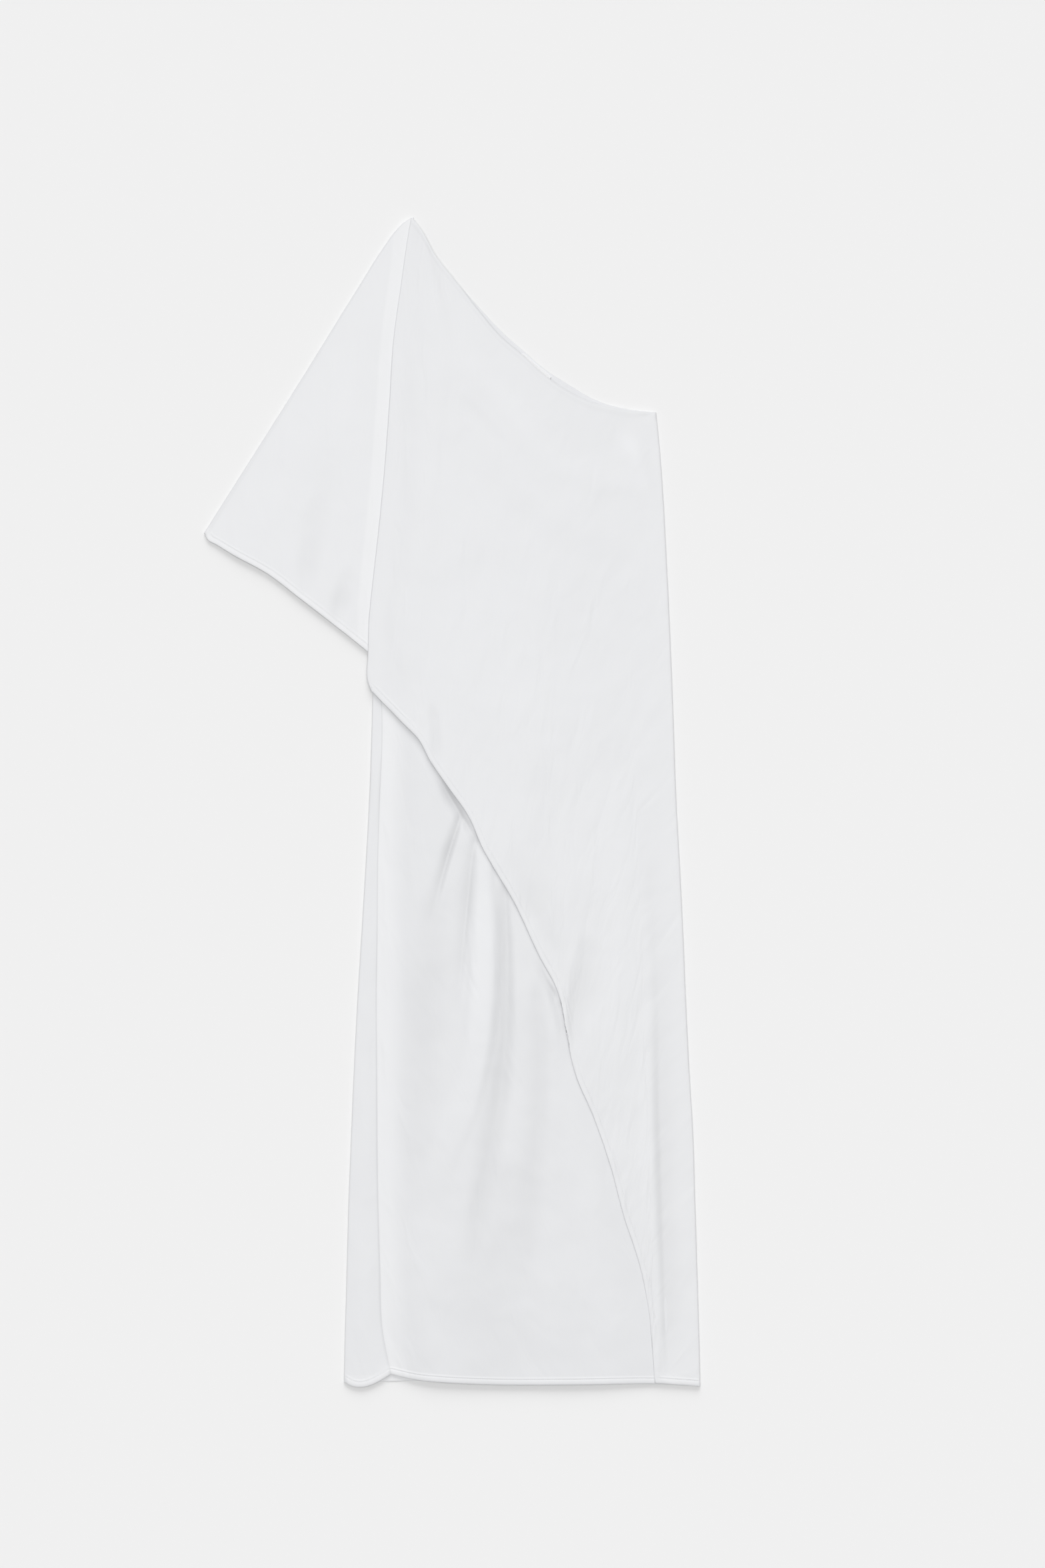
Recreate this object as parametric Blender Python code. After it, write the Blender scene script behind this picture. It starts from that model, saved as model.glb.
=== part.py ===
"""One-shoulder dress of pale satin, laid flat: each cut piece is a thin closed wall of cloth.

Metres, +Z up. The dress lies on the plane z = 0 with its shoulder towards +Y and its hem towards -Y.
Tables and sizes are in millimetres and are turned into metres by MM; across is X and up is Y.
"""
import bpy
import numpy as np

MM = 0.001

# Driving sizes, in millimetres
CLOTH = 1.2              # thickness of every cloth wall
LABEL_CLOTH = 1.0        # thickness of the woven label
GAP = 0.3                # space that is left between two pieces
FRONT_PUFF = 2.6         # how far the front rises above its seams
SLEEVE_PUFF = 2.2        # how far the sleeve rises above its folded edge
DRAPE_LIFT = 1.4         # air between the drape and the front below it
PUFF_REACH = 60.0        # distance from a seam over which cloth reaches its full rise
SEAM_TOP = 2.8           # height of the front's face along its upper seams
SIDE_ROLL = 1.8          # outer radius where the back rolls round the left side
SLEEVE_ROLL = 1.5        # outer radius of the fold along the sleeve's upper edge
PLEAT_ROLL = 1.6         # outer radius of the drape's left fold
PLEAT_SETTLE = (26.0, 75.0)   # distances from the fold between which the drape sinks to the front
SLEEVE_CLIMB = (-28.0, -4.0)  # distances before the armhole over which the sleeve climbs on the body
HEM_DEPTH = 8.0          # depth of the narrow turned hems
HEM_ROOM = 0.6           # largest share of a grid's last step that a turned hem takes
HEM_EXTRA = 0.5          # extra thickness at a turned hem
FRONT_HEM_COVERED = (225.0, 248.0)    # places across between which the front's hem thins, under the drape
SLEEVE_HEM_COVERED = (-12.0, -2.0)    # distances from the drape's fold between which the sleeve's hem thins
STRIP_BULGE = 8.0        # how far the side roll's hem hangs below its ends
STRIP_DROP = 4.0         # how far that hem hangs below the back's own at the outer end
STRIP_CROWN = 0.7        # rise of the rolled strip in its middle, where it is FULL_STRIP wide
FULL_STRIP = 40.0
STRIP_HEM_REACH = 24.0   # stretch above the hem over which the strip's hem bends down
UNDERARM = 181.0         # height at which the side roll starts
ROLL_RISE = (151.0, 51.0)     # heights between which the side roll reaches its full height
ROLL_STEPS = 4           # facets round a fold
LABEL_WIDTH = 46.0
LABEL_HEIGHT = 15.0
LABEL_INSET = 2.0        # distance from the back's neck edge to the label
LABEL_MIDDLE = 107.0     # place across of the label's middle
SEAM_GAP = 0.5           # space between two edges along a curved seam
REST = 0.5               # space between two layers that lie on each other
LAYER = CLOTH + REST
PLEAT_SLANT = 1.04       # slope of the hem on the turned-under cloth
PLEAT_HEM_REACH = 90.0   # stretch above the drape's hem over which that slope sets in
LINE_POINTS = 400        # close points that a smooth line is worked out at
FOLD_POINTS = 60         # points along a fold's line
FOLD_ENDS = 0.06         # share of a half wave that is left out at each end of a fold
FOLD_FULLNESS = 0.7      # below 1, a fold keeps its height for longer along its line


def table(columns, *rows):
    """A short table: a dictionary with one array, in millimetres, for each named column."""
    return dict(zip(columns.split(), np.array(rows, float).T))


# Neck edge of the back, and how far below it the front's neck edge lies.
NECK = table(
    "across up drop",
    (-50, 727, 0), (-43, 719, 0), (-20, 679, 0), (10, 642, 1), (32, 617, 5), (63, 584, 8), (88, 562, 7),
    (111, 542, 8), (149, 517, 9), (177, 501, 5), (200, 493, 2), (225, 488, 1), (254, 485, 0),
)

# Left edge of the back: the armhole seam down to the underarm, then the left side of the laid dress.
# The seam is the front's left edge: the same armhole, then the side seam that rolls to the front.
LEFT_SIDE = table(
    "up edge seam",
    (727, -50, -50), (690, -52.5, -52), (639, -59, -58), (578, -67, -66), (493, -73, -72), (415, -79, -78),
    (342, -86, -85), (278, -93, -92), (227, -97, -95), (181, -98, -93), (130, -99, -88), (86, -100, -87),
    (3, -103, -90), (-80, -107.5, -92.5), (-163, -112.5, -93), (-246, -117.5, -94), (-329, -121.6, -93.5),
    (-412, -125, -93), (-495, -128, -92), (-578, -130, -89.5), (-661, -132, -86), (-712, -133, -76),
)

RIGHT_SIDE = table(
    "up edge",
    (485, 254), (434, 259), (393, 262), (302, 267), (194, 272), (119, 275), (3, 279), (-80, 283.5),
    (-163, 287.6), (-246, 291), (-329, 295), (-412, 300), (-495, 302.5), (-578, 305), (-661, 307.5),
    (-726, 309),
)

# Bottom hem of the front, and of the back below it.
BOTTOM = table(
    "across front back",
    (-133, -712, -712), (-76, -712, -716), (-49, -722, -719), (18, -725, -721), (68, -726, -722),
    (142, -725, -722), (252, -724, -722), (309, -726, -723),
)

# The drape's left fold, and how deep its cloth is turned under.
PLEAT = table(
    "up across depth",
    (724, -49, 3), (703, -53, 3.5), (639, -63, 5), (578, -72, 8), (493, -78, 11), (415, -84, 14),
    (342, -91, 17), (278, -98, 19), (227, -103, 22), (184, -104, 24), (150, -104, 26), (137, -99, 26),
)

# The drape's diagonal hem, with its small waves, then its short bottom hem.
DRAPE_HEM = table(
    "across up",
    (-99, 137), (-61, 98), (-40, 76), (-28, 53), (-7, 22), (22, -20), (39, -59), (51, -80), (76, -122),
    (109, -192), (131, -234), (142, -283), (153, -336), (176, -391), (198, -455), (213, -512), (235, -581),
    (246, -640), (252, -723),
)
DRAPE_CORNER = (309.0, -727.0)

SLEEVE_EDGE = table(
    "across up",
    (-53, 726), (-61, 721), (-69, 713), (-86, 690), (-115, 644), (-190, 523), (-309, 335),
)
SLEEVE_HEM = table(
    "across up",
    (-309, 335), (-305, 327), (-296, 322), (-273, 308), (-231, 285), (-190, 254), (-132, 209), (-98, 182),
    (-73, 164),
)

# Largest folds: three points that a fold runs through, its half width and its height, below zero in a valley.
FRONT_FOLDS = table(
    "x0 y0 x1 y1 x2 y2 half_width height",
    (10, -5, -4, -66, -22, -122, 15, -2.0),
    (-30, -110, -33, -260, -30, -412, 38, -1.4),
    (29, -40, 18, -146, 4, -238, 14, -1.3),
    (37, -60, 35, -246, -24, -445, 20, 1.5),
    (65, -110, 69, -315, 21, -590, 22, -2.3),
    (90, -220, 90, -400, 62, -575, 22, 0.9),
    (107, -265, 109, -400, 90, -620, 24, -1.4),
    (150, -380, 152, -440, 146, -520, 32, 0.7),
    (-76, 70, -77, -300, -72, -690, 15, 0.8),
)
DRAPE_FOLDS = table(
    "x0 y0 x1 y1 x2 y2 half_width height",
    (236, 119, 257, -230, 264, -640, 16, -1.2),
    (226, 60, 243, -300, 249, -560, 14, 0.8),
    (160, -185, 157, -250, 152, -325, 16, -1.0),
    (-23, 112, -21, 84, -18, 52, 14, -1.1),
    (112, 60, 113, -40, 112, -150, 34, -0.9),
    (76, 215, 77, 130, 76, 40, 34, 0.8),
    (-36, 700, -19, 630, 2, 540, 16, -0.8),
    (-2, 575, 75, 480, 262, 402, 30, 0.9),
    (30, 430, 130, 325, 262, 300, 32, -0.7),
)
SLEEVE_FOLDS = table(
    "x0 y0 x1 y1 x2 y2 half_width height",
    (-164, 440, -177, 355, -183, 262, 26, -1.5),
    (-142, 226, -136, 246, -131, 266, 14, -0.8),
)

# Grids: how finely each piece is divided, as shares across it and as numbers of rows and columns.
FRONT_COLUMNS = np.concatenate([[0.0, 0.03], np.linspace(0.07, 0.62, 17), np.linspace(0.68, 1.0, 6)])
FRONT_ROWS = 36
BACK_COLUMNS = 12
BACK_ROWS = 34
STRIP_COLUMNS = 5
DRAPE_COLUMNS = 27
DRAPE_ROWS = 34
DRAPE_CORNER_SHARE = 23 / 26
PLEAT_COLUMNS = 3
SLEEVE_ROWS = 16
SLEEVE_COLUMNS = 14
SLEEVE_BACK_COLUMNS = 7
LABEL_COLUMNS = 5
LABEL_ROWS = 3

CLOTH_COLOUR = (0.83, 0.84, 0.86)
LABEL_COLOUR = (0.86, 0.86, 0.87)


def clear_scene():
    """Removes every object that the new scene starts with."""
    for thing in list(bpy.data.objects):
        bpy.data.objects.remove(thing, do_unlink=True)


def satin(name, colour, roughness):
    """A plain Principled material for one piece."""
    material = bpy.data.materials.new(name)
    material.use_nodes = True
    shader = material.node_tree.nodes["Principled BSDF"]
    shader.inputs["Base Color"].default_value = (*colour, 1.0)
    shader.inputs["Roughness"].default_value = roughness
    shader.inputs["Metallic"].default_value = 0.0
    return material


def ease(value, low, high):
    """Rises smoothly from 0 at low to 1 at high."""
    share = np.clip((value - low) / (high - low), 0.0, 1.0)
    return share * share * (3.0 - 2.0 * share)


def blend(first, second, share):
    return first + (second - first) * share


def smooth_line(across, up):
    """A smooth line through the points, as many close points spaced evenly along it."""
    knots = np.column_stack([across, up]).astype(float)
    lengths = np.hypot(*np.diff(knots, axis=0).T)
    at = np.concatenate([[0.0], np.cumsum(lengths)])
    slopes = np.diff(knots, axis=0) / lengths[:, None]
    weights = lengths[1:, None] / (lengths[1:] + lengths[:-1])[:, None]
    inner = slopes[:-1] * weights + slopes[1:] * (1.0 - weights)
    tangents = np.vstack([slopes[:1], inner, slopes[-1:]])
    where = np.linspace(0.0, at[-1], 2 * LINE_POINTS)
    index = np.clip(np.searchsorted(at, where, side="right") - 1, 0, len(lengths) - 1)
    step = lengths[index][:, None]
    t = ((where - at[index]) / lengths[index])[:, None]
    start = knots[index] * (2 * t**3 - 3 * t**2 + 1) + tangents[index] * step * (t**3 - 2 * t**2 + t)
    end = knots[index + 1] * (3 * t**2 - 2 * t**3) + tangents[index + 1] * step * (t**3 - t**2)
    line = start + end
    travelled = np.concatenate([[0.0], np.cumsum(np.hypot(*np.diff(line, axis=0).T))])
    return at_share(line, travelled / travelled[-1], np.linspace(0.0, 1.0, LINE_POINTS))


def at_share(line, shares, wanted):
    """Points of a line at the wanted shares, where shares gives the share of each of its points."""
    return np.column_stack([np.interp(wanted, shares, line[:, 0]), np.interp(wanted, shares, line[:, 1])])


def along(line, wanted):
    """Points at the wanted shares of an evenly spaced line's length."""
    return at_share(line, np.linspace(0.0, 1.0, len(line)), wanted)


def part_of(line, start, end):
    """The stretch of a line between two shares of its length."""
    return along(line, np.linspace(start, end, LINE_POINTS))


def outward(line, side):
    """Unit vectors across a line, to its left (side 1) or its right (side -1)."""
    heading = np.gradient(line, axis=0)
    heading /= np.hypot(*heading.T)[:, None]
    return side * np.column_stack([-heading[:, 1], heading[:, 0]])


def edge_at(rows, column, up):
    """A smooth edge's place across at given heights, from a table whose rows go downwards."""
    line = smooth_line(rows[column], rows["up"])
    return np.interp(-up, -line[:, 1], line[:, 0])


def patch(top, bottom, left, right, across, down):
    """Grid of points between four edge lines: opposite edges blended, less the blend of the corners.

    top and bottom run left to right; left and right run top to bottom. The result's first index goes down.
    """
    u = across[None, :, None]
    v = down[:, None, None]
    upper = along(top, across)[None]
    lower = along(bottom, across)[None]
    lefts = along(left, down)[:, None]
    rights = along(right, down)[:, None]
    corners = (1 - v) * ((1 - u) * top[0] + u * top[-1]) + v * ((1 - u) * bottom[0] + u * bottom[-1])
    return (1 - v) * upper + v * lower + (1 - u) * lefts + u * rights - corners


def spread(share, line):
    """Shares of a line's length, half by its length and half by how far across it has come."""
    across = np.maximum.accumulate(line[:, 0])
    across = (across - across[0]) / (across[-1] - across[0]) + np.linspace(0.0, 1e-6, len(line))
    by_width = np.interp(share, across, np.linspace(0.0, 1.0, len(line)))
    return 0.5 * (share + by_width)


def turned_hem(grid):
    """The grid with one more row, above its last one by a hem's depth measured square to the hem."""
    hem = grid[-1]
    step = grid[-2] - hem
    square = np.abs((step * outward(hem, 1)).sum(1))
    share = np.minimum(HEM_DEPTH / np.maximum(square, HEM_DEPTH), HEM_ROOM)
    row = hem + step * share[:, None]
    return np.concatenate([grid[:-1], row[None], grid[-1:]])


def relief(grid, folds):
    """Height of soft folds: a raised cosine across each fold, fading along it towards both ends."""
    points = grid.reshape(-1, 2)
    height = np.zeros(len(points))
    share = np.linspace(0.0, 1.0, FOLD_POINTS)
    for row in range(len(folds["height"])):
        knots = [(folds[f"x{k}"][row], folds[f"y{k}"][row]) for k in range(3)]
        line = along(smooth_line(*np.array(knots).T), share)
        apart = np.hypot(points[:, None, 0] - line[None, :, 0], points[:, None, 1] - line[None, :, 1])
        nearest = apart.argmin(axis=1)
        distance = np.clip(apart.min(axis=1) / folds["half_width"][row], 0.0, 1.0)
        half_wave = np.pi * (FOLD_ENDS + (1.0 - 2.0 * FOLD_ENDS) * share[nearest])
        fade = np.sin(half_wave) ** FOLD_FULLNESS
        height += folds["height"][row] * fade * 0.5 * (1.0 + np.cos(np.pi * distance))
    return height.reshape(grid.shape[:-1])


def distance_to(line, grid):
    """Distance from each point of a grid to a line."""
    points = grid.reshape(-1, 1, 2)
    apart = np.hypot(points[..., 0] - line[None, :, 0], points[..., 1] - line[None, :, 1])
    return apart.min(axis=1).reshape(grid.shape[:-1])


def armhole_distance(x, y):
    """Distance to the right of the front's left seam."""
    return x - edge_at(LEFT_SIDE, "seam", y)


def left_seam_height(up):
    """Face of the cloth along the left seam: low at the armhole, higher beside the side roll."""
    low, high = ROLL_RISE
    return blend(SEAM_TOP, 2.0 * SIDE_ROLL, ease(-up, -low, -high))


def front_height(grid):
    """Face of the front without its folds: seams at the sides, one low soft rise between them."""
    x, y = grid[..., 0], grid[..., 1]
    from_left = armhole_distance(x, y)
    from_right = edge_at(RIGHT_SIDE, "edge", y) - x
    neck = np.interp(x, NECK["across"], NECK["up"]) - y
    to_corner = from_right + neck * (y > RIGHT_SIDE["up"][0])
    upper = ease(from_left, 0.0, PUFF_REACH) * ease(to_corner, 0.0, PUFF_REACH)
    across = np.clip(from_left / np.maximum(from_left + from_right, 1.0), 0.0, 1.0)
    return blend(left_seam_height(y), SEAM_TOP, ease(across, 0.0, 0.5)) + FRONT_PUFF * upper


def sleeve_height(grid):
    """Face of the sleeve's front layer: low rise on the wing, then a climb on to the body."""
    x, y = grid[..., 0], grid[..., 1]
    from_seam = armhole_distance(x, y)
    edge = smooth_line(SLEEVE_EDGE["across"], SLEEVE_EDGE["up"])
    from_edge = distance_to(edge, grid)
    rise = ease(from_edge, 0.0, PUFF_REACH) * ease(-from_seam, 0.0, PUFF_REACH)
    wing = 2.0 * SLEEVE_ROLL + SLEEVE_PUFF * rise
    at_body = grid.copy()
    at_body[..., 0] = np.maximum(x, edge_at(LEFT_SIDE, "seam", y))
    on_body = front_height(at_body) + LAYER
    return blend(wing, on_body, ease(from_seam, *SLEEVE_CLIMB))


def pleat_floor(grid):
    """Outer face of the drape's turned-under cloth, which lies on the sleeve."""
    return sleeve_height(grid) + REST


def drape_height(grid):
    """Face of the drape: high over its left fold, then settled on the front with a little air."""
    x, y = grid[..., 0], grid[..., 1]
    from_fold = x - edge_at(PLEAT, "across", y)
    from_right = edge_at(RIGHT_SIDE, "edge", y) - x
    over_fold = pleat_floor(grid) + 2.0 * PLEAT_ROLL
    inside = ease(from_right, 0.0, PUFF_REACH)
    settled = front_height(grid) + LAYER + DRAPE_LIFT * inside
    return blend(over_fold, settled, ease(from_fold, *PLEAT_SETTLE))


def fold_round(start, low, high, radius):
    """Points round a fold beside a column, from its lower layer to its upper one; its ends are left out."""
    away = outward(start, -1)
    turn = np.linspace(0.0, np.pi, ROLL_STEPS + 1)[1:-1]
    reach = start[:, None, :] + away[:, None, :] * (radius * np.sin(turn))[None, :, None]
    lift = low[:, None] + 0.5 * (high - low)[:, None] * (1.0 - np.cos(turn))[None, :]
    return np.concatenate([reach, lift[..., None]], axis=2)


def with_height(grid, height):
    return np.concatenate([grid, height[..., None]], axis=2)


def grid_faces(rows, columns, keep=None):
    """Four-cornered faces of a grid, seen from its outer side; keep says which cells exist."""
    index = np.arange(rows * columns).reshape(rows, columns)
    faces = np.stack([index[:-1, :-1], index[1:, :-1], index[1:, 1:], index[:-1, 1:]], axis=-1)
    if keep is None:
        return faces.reshape(-1, 4)
    return faces[keep]


def outer_normals(points, faces):
    """Unit normal at each point: the sum of the normals of the faces round it."""
    corners = points[faces]
    normals = np.cross(corners[:, 2] - corners[:, 0], corners[:, 3] - corners[:, 1])
    total = np.zeros_like(points)
    for corner in range(4):
        np.add.at(total, faces[:, corner], normals)
    return total / np.maximum(np.linalg.norm(total, axis=1), 1e-9)[:, None]


def open_edges(faces):
    """Edges that only one face uses, in that face's direction."""
    edges = np.concatenate([faces[:, [k, (k + 1) % 4]] for k in range(4)])
    names = {tuple(edge) for edge in edges.tolist()}
    return np.array([edge for edge in edges.tolist() if (edge[1], edge[0]) not in names])


def cloth_piece(name, grid, faces, thickness, material):
    """A closed wall: the outer face, the same face moved in by the cloth's thickness, and a rim."""
    used = np.unique(faces)
    faces = np.searchsorted(used, faces)
    points = grid.reshape(-1, 3)[used]
    depth = np.broadcast_to(thickness, grid.shape[:2]).reshape(-1)[used]
    inner = points - outer_normals(points, faces) * depth[:, None]
    count = len(points)
    rim = open_edges(faces)
    sides = np.column_stack([rim[:, 1], rim[:, 0], rim[:, 0] + count, rim[:, 1] + count])
    shape = np.concatenate([faces, faces[:, ::-1] + count, sides])
    mesh = bpy.data.meshes.new(name)
    mesh.from_pydata((np.concatenate([points, inner]) * MM).tolist(), [], shape.tolist())
    mesh.materials.append(material)
    mesh.shade_smooth()
    mesh.set_sharp_from_angle(angle=np.radians(50.0))
    piece = bpy.data.objects.new(name, mesh)
    bpy.context.scene.collection.objects.link(piece)
    return piece


def neck_line(drop):
    return smooth_line(NECK["across"], NECK["up"] - drop * NECK["drop"])


def right_line():
    return smooth_line(RIGHT_SIDE["edge"], RIGHT_SIDE["up"])


def joined(start, line, end):
    """A line whose two ends are moved on to given points, its middle following softly."""
    share = np.linspace(0.0, 1.0, len(line))[:, None]
    return line + (start - line[0]) * (1 - share) ** 4 + (end - line[-1]) * share**4


def back_left_line():
    """Left edge of the back's floor layer: the armhole, then the line where the side roll begins."""
    line = smooth_line(LEFT_SIDE["edge"] + SIDE_ROLL, LEFT_SIDE["up"])
    top = np.array([NECK["across"][0], NECK["up"][0]])
    bottom = np.array([BOTTOM["across"][0], BOTTOM["back"][0]])
    return joined(top, line, bottom)


def make_back(material):
    """Back panel flat on the floor; below the underarm it rolls round the left side to the front."""
    top = neck_line(0.0)
    bottom = smooth_line(BOTTOM["across"], BOTTOM["back"])
    left = back_left_line()
    right = joined(top[-1], right_line(), bottom[-1])
    across, down = np.linspace(0, 1, BACK_COLUMNS), np.linspace(0, 1, BACK_ROWS)
    floor = turned_hem(patch(top, bottom, left, right, across, down))
    flat = with_height(floor, np.zeros(floor.shape[:-1]))
    start = floor[:, 0]
    height = start[:, 1]
    upper = left_seam_height(height)
    roll = fold_round(start, np.zeros(len(start)), upper, SIDE_ROLL)
    seam = np.column_stack([edge_at(LEFT_SIDE, "seam", height) - SEAM_GAP, height])
    share = np.linspace(0.0, 1.0, STRIP_COLUMNS)[None, :, None]
    strip = start[:, None] * (1 - share) + seam[:, None] * share
    at_hem = ease(-height, -height[-1] - STRIP_HEM_REACH, -height[-1])[:, None]
    share = share[..., 0]
    strip[..., 1] -= at_hem * (STRIP_BULGE * np.sin(np.pi * share**0.8) + STRIP_DROP * (1 - share))
    roll[..., 1] -= at_hem * STRIP_DROP
    crown = STRIP_CROWN * np.sin(np.pi * share) * np.clip((seam - start)[:, :1] / FULL_STRIP, 0.0, 1.0)
    wrapped = with_height(strip, upper[:, None] + crown)
    grid = np.concatenate([wrapped[:, ::-1], roll[:, ::-1], flat], axis=1)
    folded = wrapped.shape[1] + roll.shape[1]
    keep = np.ones((len(start) - 1, grid.shape[1] - 1), bool)
    keep[height[:-1] > UNDERARM, :folded] = False
    return cloth_piece("back", grid, grid_faces(*grid.shape[:2], keep)[:, ::-1], CLOTH, material)


def make_front(material):
    """Front under layer from neck to hem, with its folds."""
    top = neck_line(1.0)
    shows = BOTTOM["across"] >= LEFT_SIDE["seam"][-1]
    bottom = smooth_line(BOTTOM["across"][shows], BOTTOM["front"][shows])
    left = joined(top[0], smooth_line(LEFT_SIDE["seam"], LEFT_SIDE["up"]), bottom[0])
    right = joined(top[-1], right_line(), bottom[-1])
    grid = turned_hem(patch(top, bottom, left, right, FRONT_COLUMNS, np.linspace(0, 1, FRONT_ROWS)))
    extra = HEM_EXTRA * (1.0 - ease(grid[-1, :, 0], *FRONT_HEM_COVERED))
    thickness = np.full(grid.shape[:-1], CLOTH)
    thickness[-1] += extra
    height = front_height(grid) + relief(grid, FRONT_FOLDS)
    height[-1] += extra
    return cloth_piece("front", with_height(grid, height), grid_faces(*grid.shape[:2]), thickness, material)


def make_drape(material):
    """Front over layer: turned under at its left fold, ending in the diagonal hem."""
    top = neck_line(1.0)
    hem = smooth_line(DRAPE_HEM["across"], DRAPE_HEM["up"])
    fold = smooth_line(PLEAT["across"] + PLEAT_ROLL, PLEAT["up"])
    left = joined(top[0], fold, hem[0])
    right = joined(top[-1], right_line(), np.array(DRAPE_CORNER))
    columns = np.linspace(0.0, 1.0, DRAPE_COLUMNS)
    main_share = columns <= DRAPE_CORNER_SHARE
    past_corner = (columns[~main_share] - DRAPE_CORNER_SHARE) / (1 - DRAPE_CORNER_SHARE)
    bottom = np.concatenate([
        along(hem, spread(columns[main_share] / DRAPE_CORNER_SHARE, hem)),
        blend(hem[-1], right[-1], past_corner[:, None]),
    ])
    grid = turned_hem(patch(top, bottom, left, right, columns, np.linspace(0, 1, DRAPE_ROWS)))
    height = drape_height(grid) + relief(grid, DRAPE_FOLDS)
    height[-1] += HEM_EXTRA
    start = grid[:, 0]
    depth = np.interp(-start[:, 1], -PLEAT["up"], PLEAT["depth"])
    share = np.linspace(0.0, 1.0, PLEAT_COLUMNS)[None, :, None]
    under = np.repeat(start[:, None], PLEAT_COLUMNS, axis=1)
    under[..., 0] += share[..., 0] * (depth - PLEAT_ROLL)[:, None]
    slant = PLEAT_SLANT * ease(-start[:, 1], -start[-1, 1] - PLEAT_HEM_REACH, -start[-1, 1])[:, None]
    under[..., 1] += share[..., 0] * depth[:, None] * slant
    low = pleat_floor(under)
    roll = fold_round(start, low[:, 0], height[:, 0], PLEAT_ROLL)
    whole = np.concatenate([with_height(under, low)[:, ::-1], roll, with_height(grid, height)], axis=1)
    thickness = np.full(whole.shape[:-1], CLOTH)
    thickness[-1, -grid.shape[1]:] += HEM_EXTRA
    return cloth_piece("drape", whole, grid_faces(*whole.shape[:2]), thickness, material)


def make_sleeve(material):
    """Wide sleeve folded along its upper edge: a front layer, the fold, and a back layer on the floor."""
    rows = np.linspace(0.0, 1.0, SLEEVE_ROWS)
    edge = smooth_line(SLEEVE_EDGE["across"], SLEEVE_EDGE["up"])
    left = edge - SLEEVE_ROLL * outward(edge, -1)
    hem = smooth_line(SLEEVE_HEM["across"], SLEEVE_HEM["up"])
    hem = joined(left[-1], hem, hem[-1])
    inner = smooth_line(PLEAT["across"] + PLEAT["depth"], PLEAT["up"])
    inner = joined(inner[0], inner, hem[-1])
    mouth = smooth_line(*np.array([left[0], inner[0]]).T)
    front = turned_hem(patch(mouth, hem, left, inner, np.linspace(0, 1, SLEEVE_COLUMNS), rows))
    height = sleeve_height(front) + relief(front, SLEEVE_FOLDS)
    from_fold = front[-1, :, 0] - edge_at(PLEAT, "across", front[-1, :, 1])
    extra = HEM_EXTRA * (1.0 - ease(from_fold, *SLEEVE_HEM_COVERED))
    height[-1] += extra
    armhole = back_left_line() - np.array([SEAM_GAP, 0.0])
    outside = hem[:, 0] < np.interp(-hem[:, 1], -armhole[:, 1], armhole[:, 0])
    back_hem = part_of(hem, 0.0, outside.mean())
    above = armhole[armhole[:, 1] > back_hem[-1, 1]]
    armhole = joined(above[0], part_of(above, 0.0, 1.0), back_hem[-1])
    mouth = smooth_line(*np.array([left[0], armhole[0]]).T)
    lower = turned_hem(patch(mouth, back_hem, left, armhole, np.linspace(0, 1, SLEEVE_BACK_COLUMNS), rows))
    lower[:, 0] = front[:, 0]
    roll = fold_round(front[:, 0], np.zeros(len(front)), height[:, 0], SLEEVE_ROLL)
    floor = with_height(lower, np.zeros(lower.shape[:-1]))
    whole = np.concatenate([with_height(front, height)[:, ::-1], roll[:, ::-1], floor], axis=1)
    thickness = np.full(whole.shape[:-1], CLOTH)
    thickness[-1, :front.shape[1]] += extra[::-1]
    return cloth_piece("sleeve", whole, grid_faces(*whole.shape[:2])[:, ::-1], thickness, material)


def make_label(material):
    """Small bare label on the inside of the back, straight, just below the neck edge."""
    neck = neck_line(0.0)
    middle = np.abs(neck[:, 0] - LABEL_MIDDLE).argmin()
    heading = neck[middle + 1] - neck[middle - 1]
    heading /= np.hypot(*heading)
    inward = np.array([heading[1], -heading[0]])
    along_label = np.linspace(-0.5, 0.5, LABEL_COLUMNS) * LABEL_WIDTH
    down_label = LABEL_INSET + np.linspace(0.0, 1.0, LABEL_ROWS) * LABEL_HEIGHT
    grid = neck[middle] + along_label[None, :, None] * heading + down_label[:, None, None] * inward
    height = np.full(grid.shape[:-1], CLOTH + GAP + LABEL_CLOTH)
    surface = with_height(grid, height)
    return cloth_piece("neck_label", surface, grid_faces(*grid.shape[:2]), LABEL_CLOTH, material)


def main():
    clear_scene()
    cloth = satin("ivory_satin", CLOTH_COLOUR, 0.45)
    label = satin("woven_label", LABEL_COLOUR, 0.6)
    make_back(cloth)
    make_front(cloth)
    make_drape(cloth)
    make_sleeve(cloth)
    make_label(label)


main()
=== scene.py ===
"""Scene of a one-shoulder dress of pale satin, laid flat on a pale floor and seen from straight above.

Every piece of cloth is a surface of two parameters on a grid: its plan is a Coons patch between four
smooth edge lines, its height is a sum of eased rises and folds, and a thin wall is grown inwards from it
with a rounded rim. Tables and sizes are in millimetres, across is X and up is Y; MM turns them into metres.
A pair of distances or heights says where something starts and where it is complete.
"""

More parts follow.
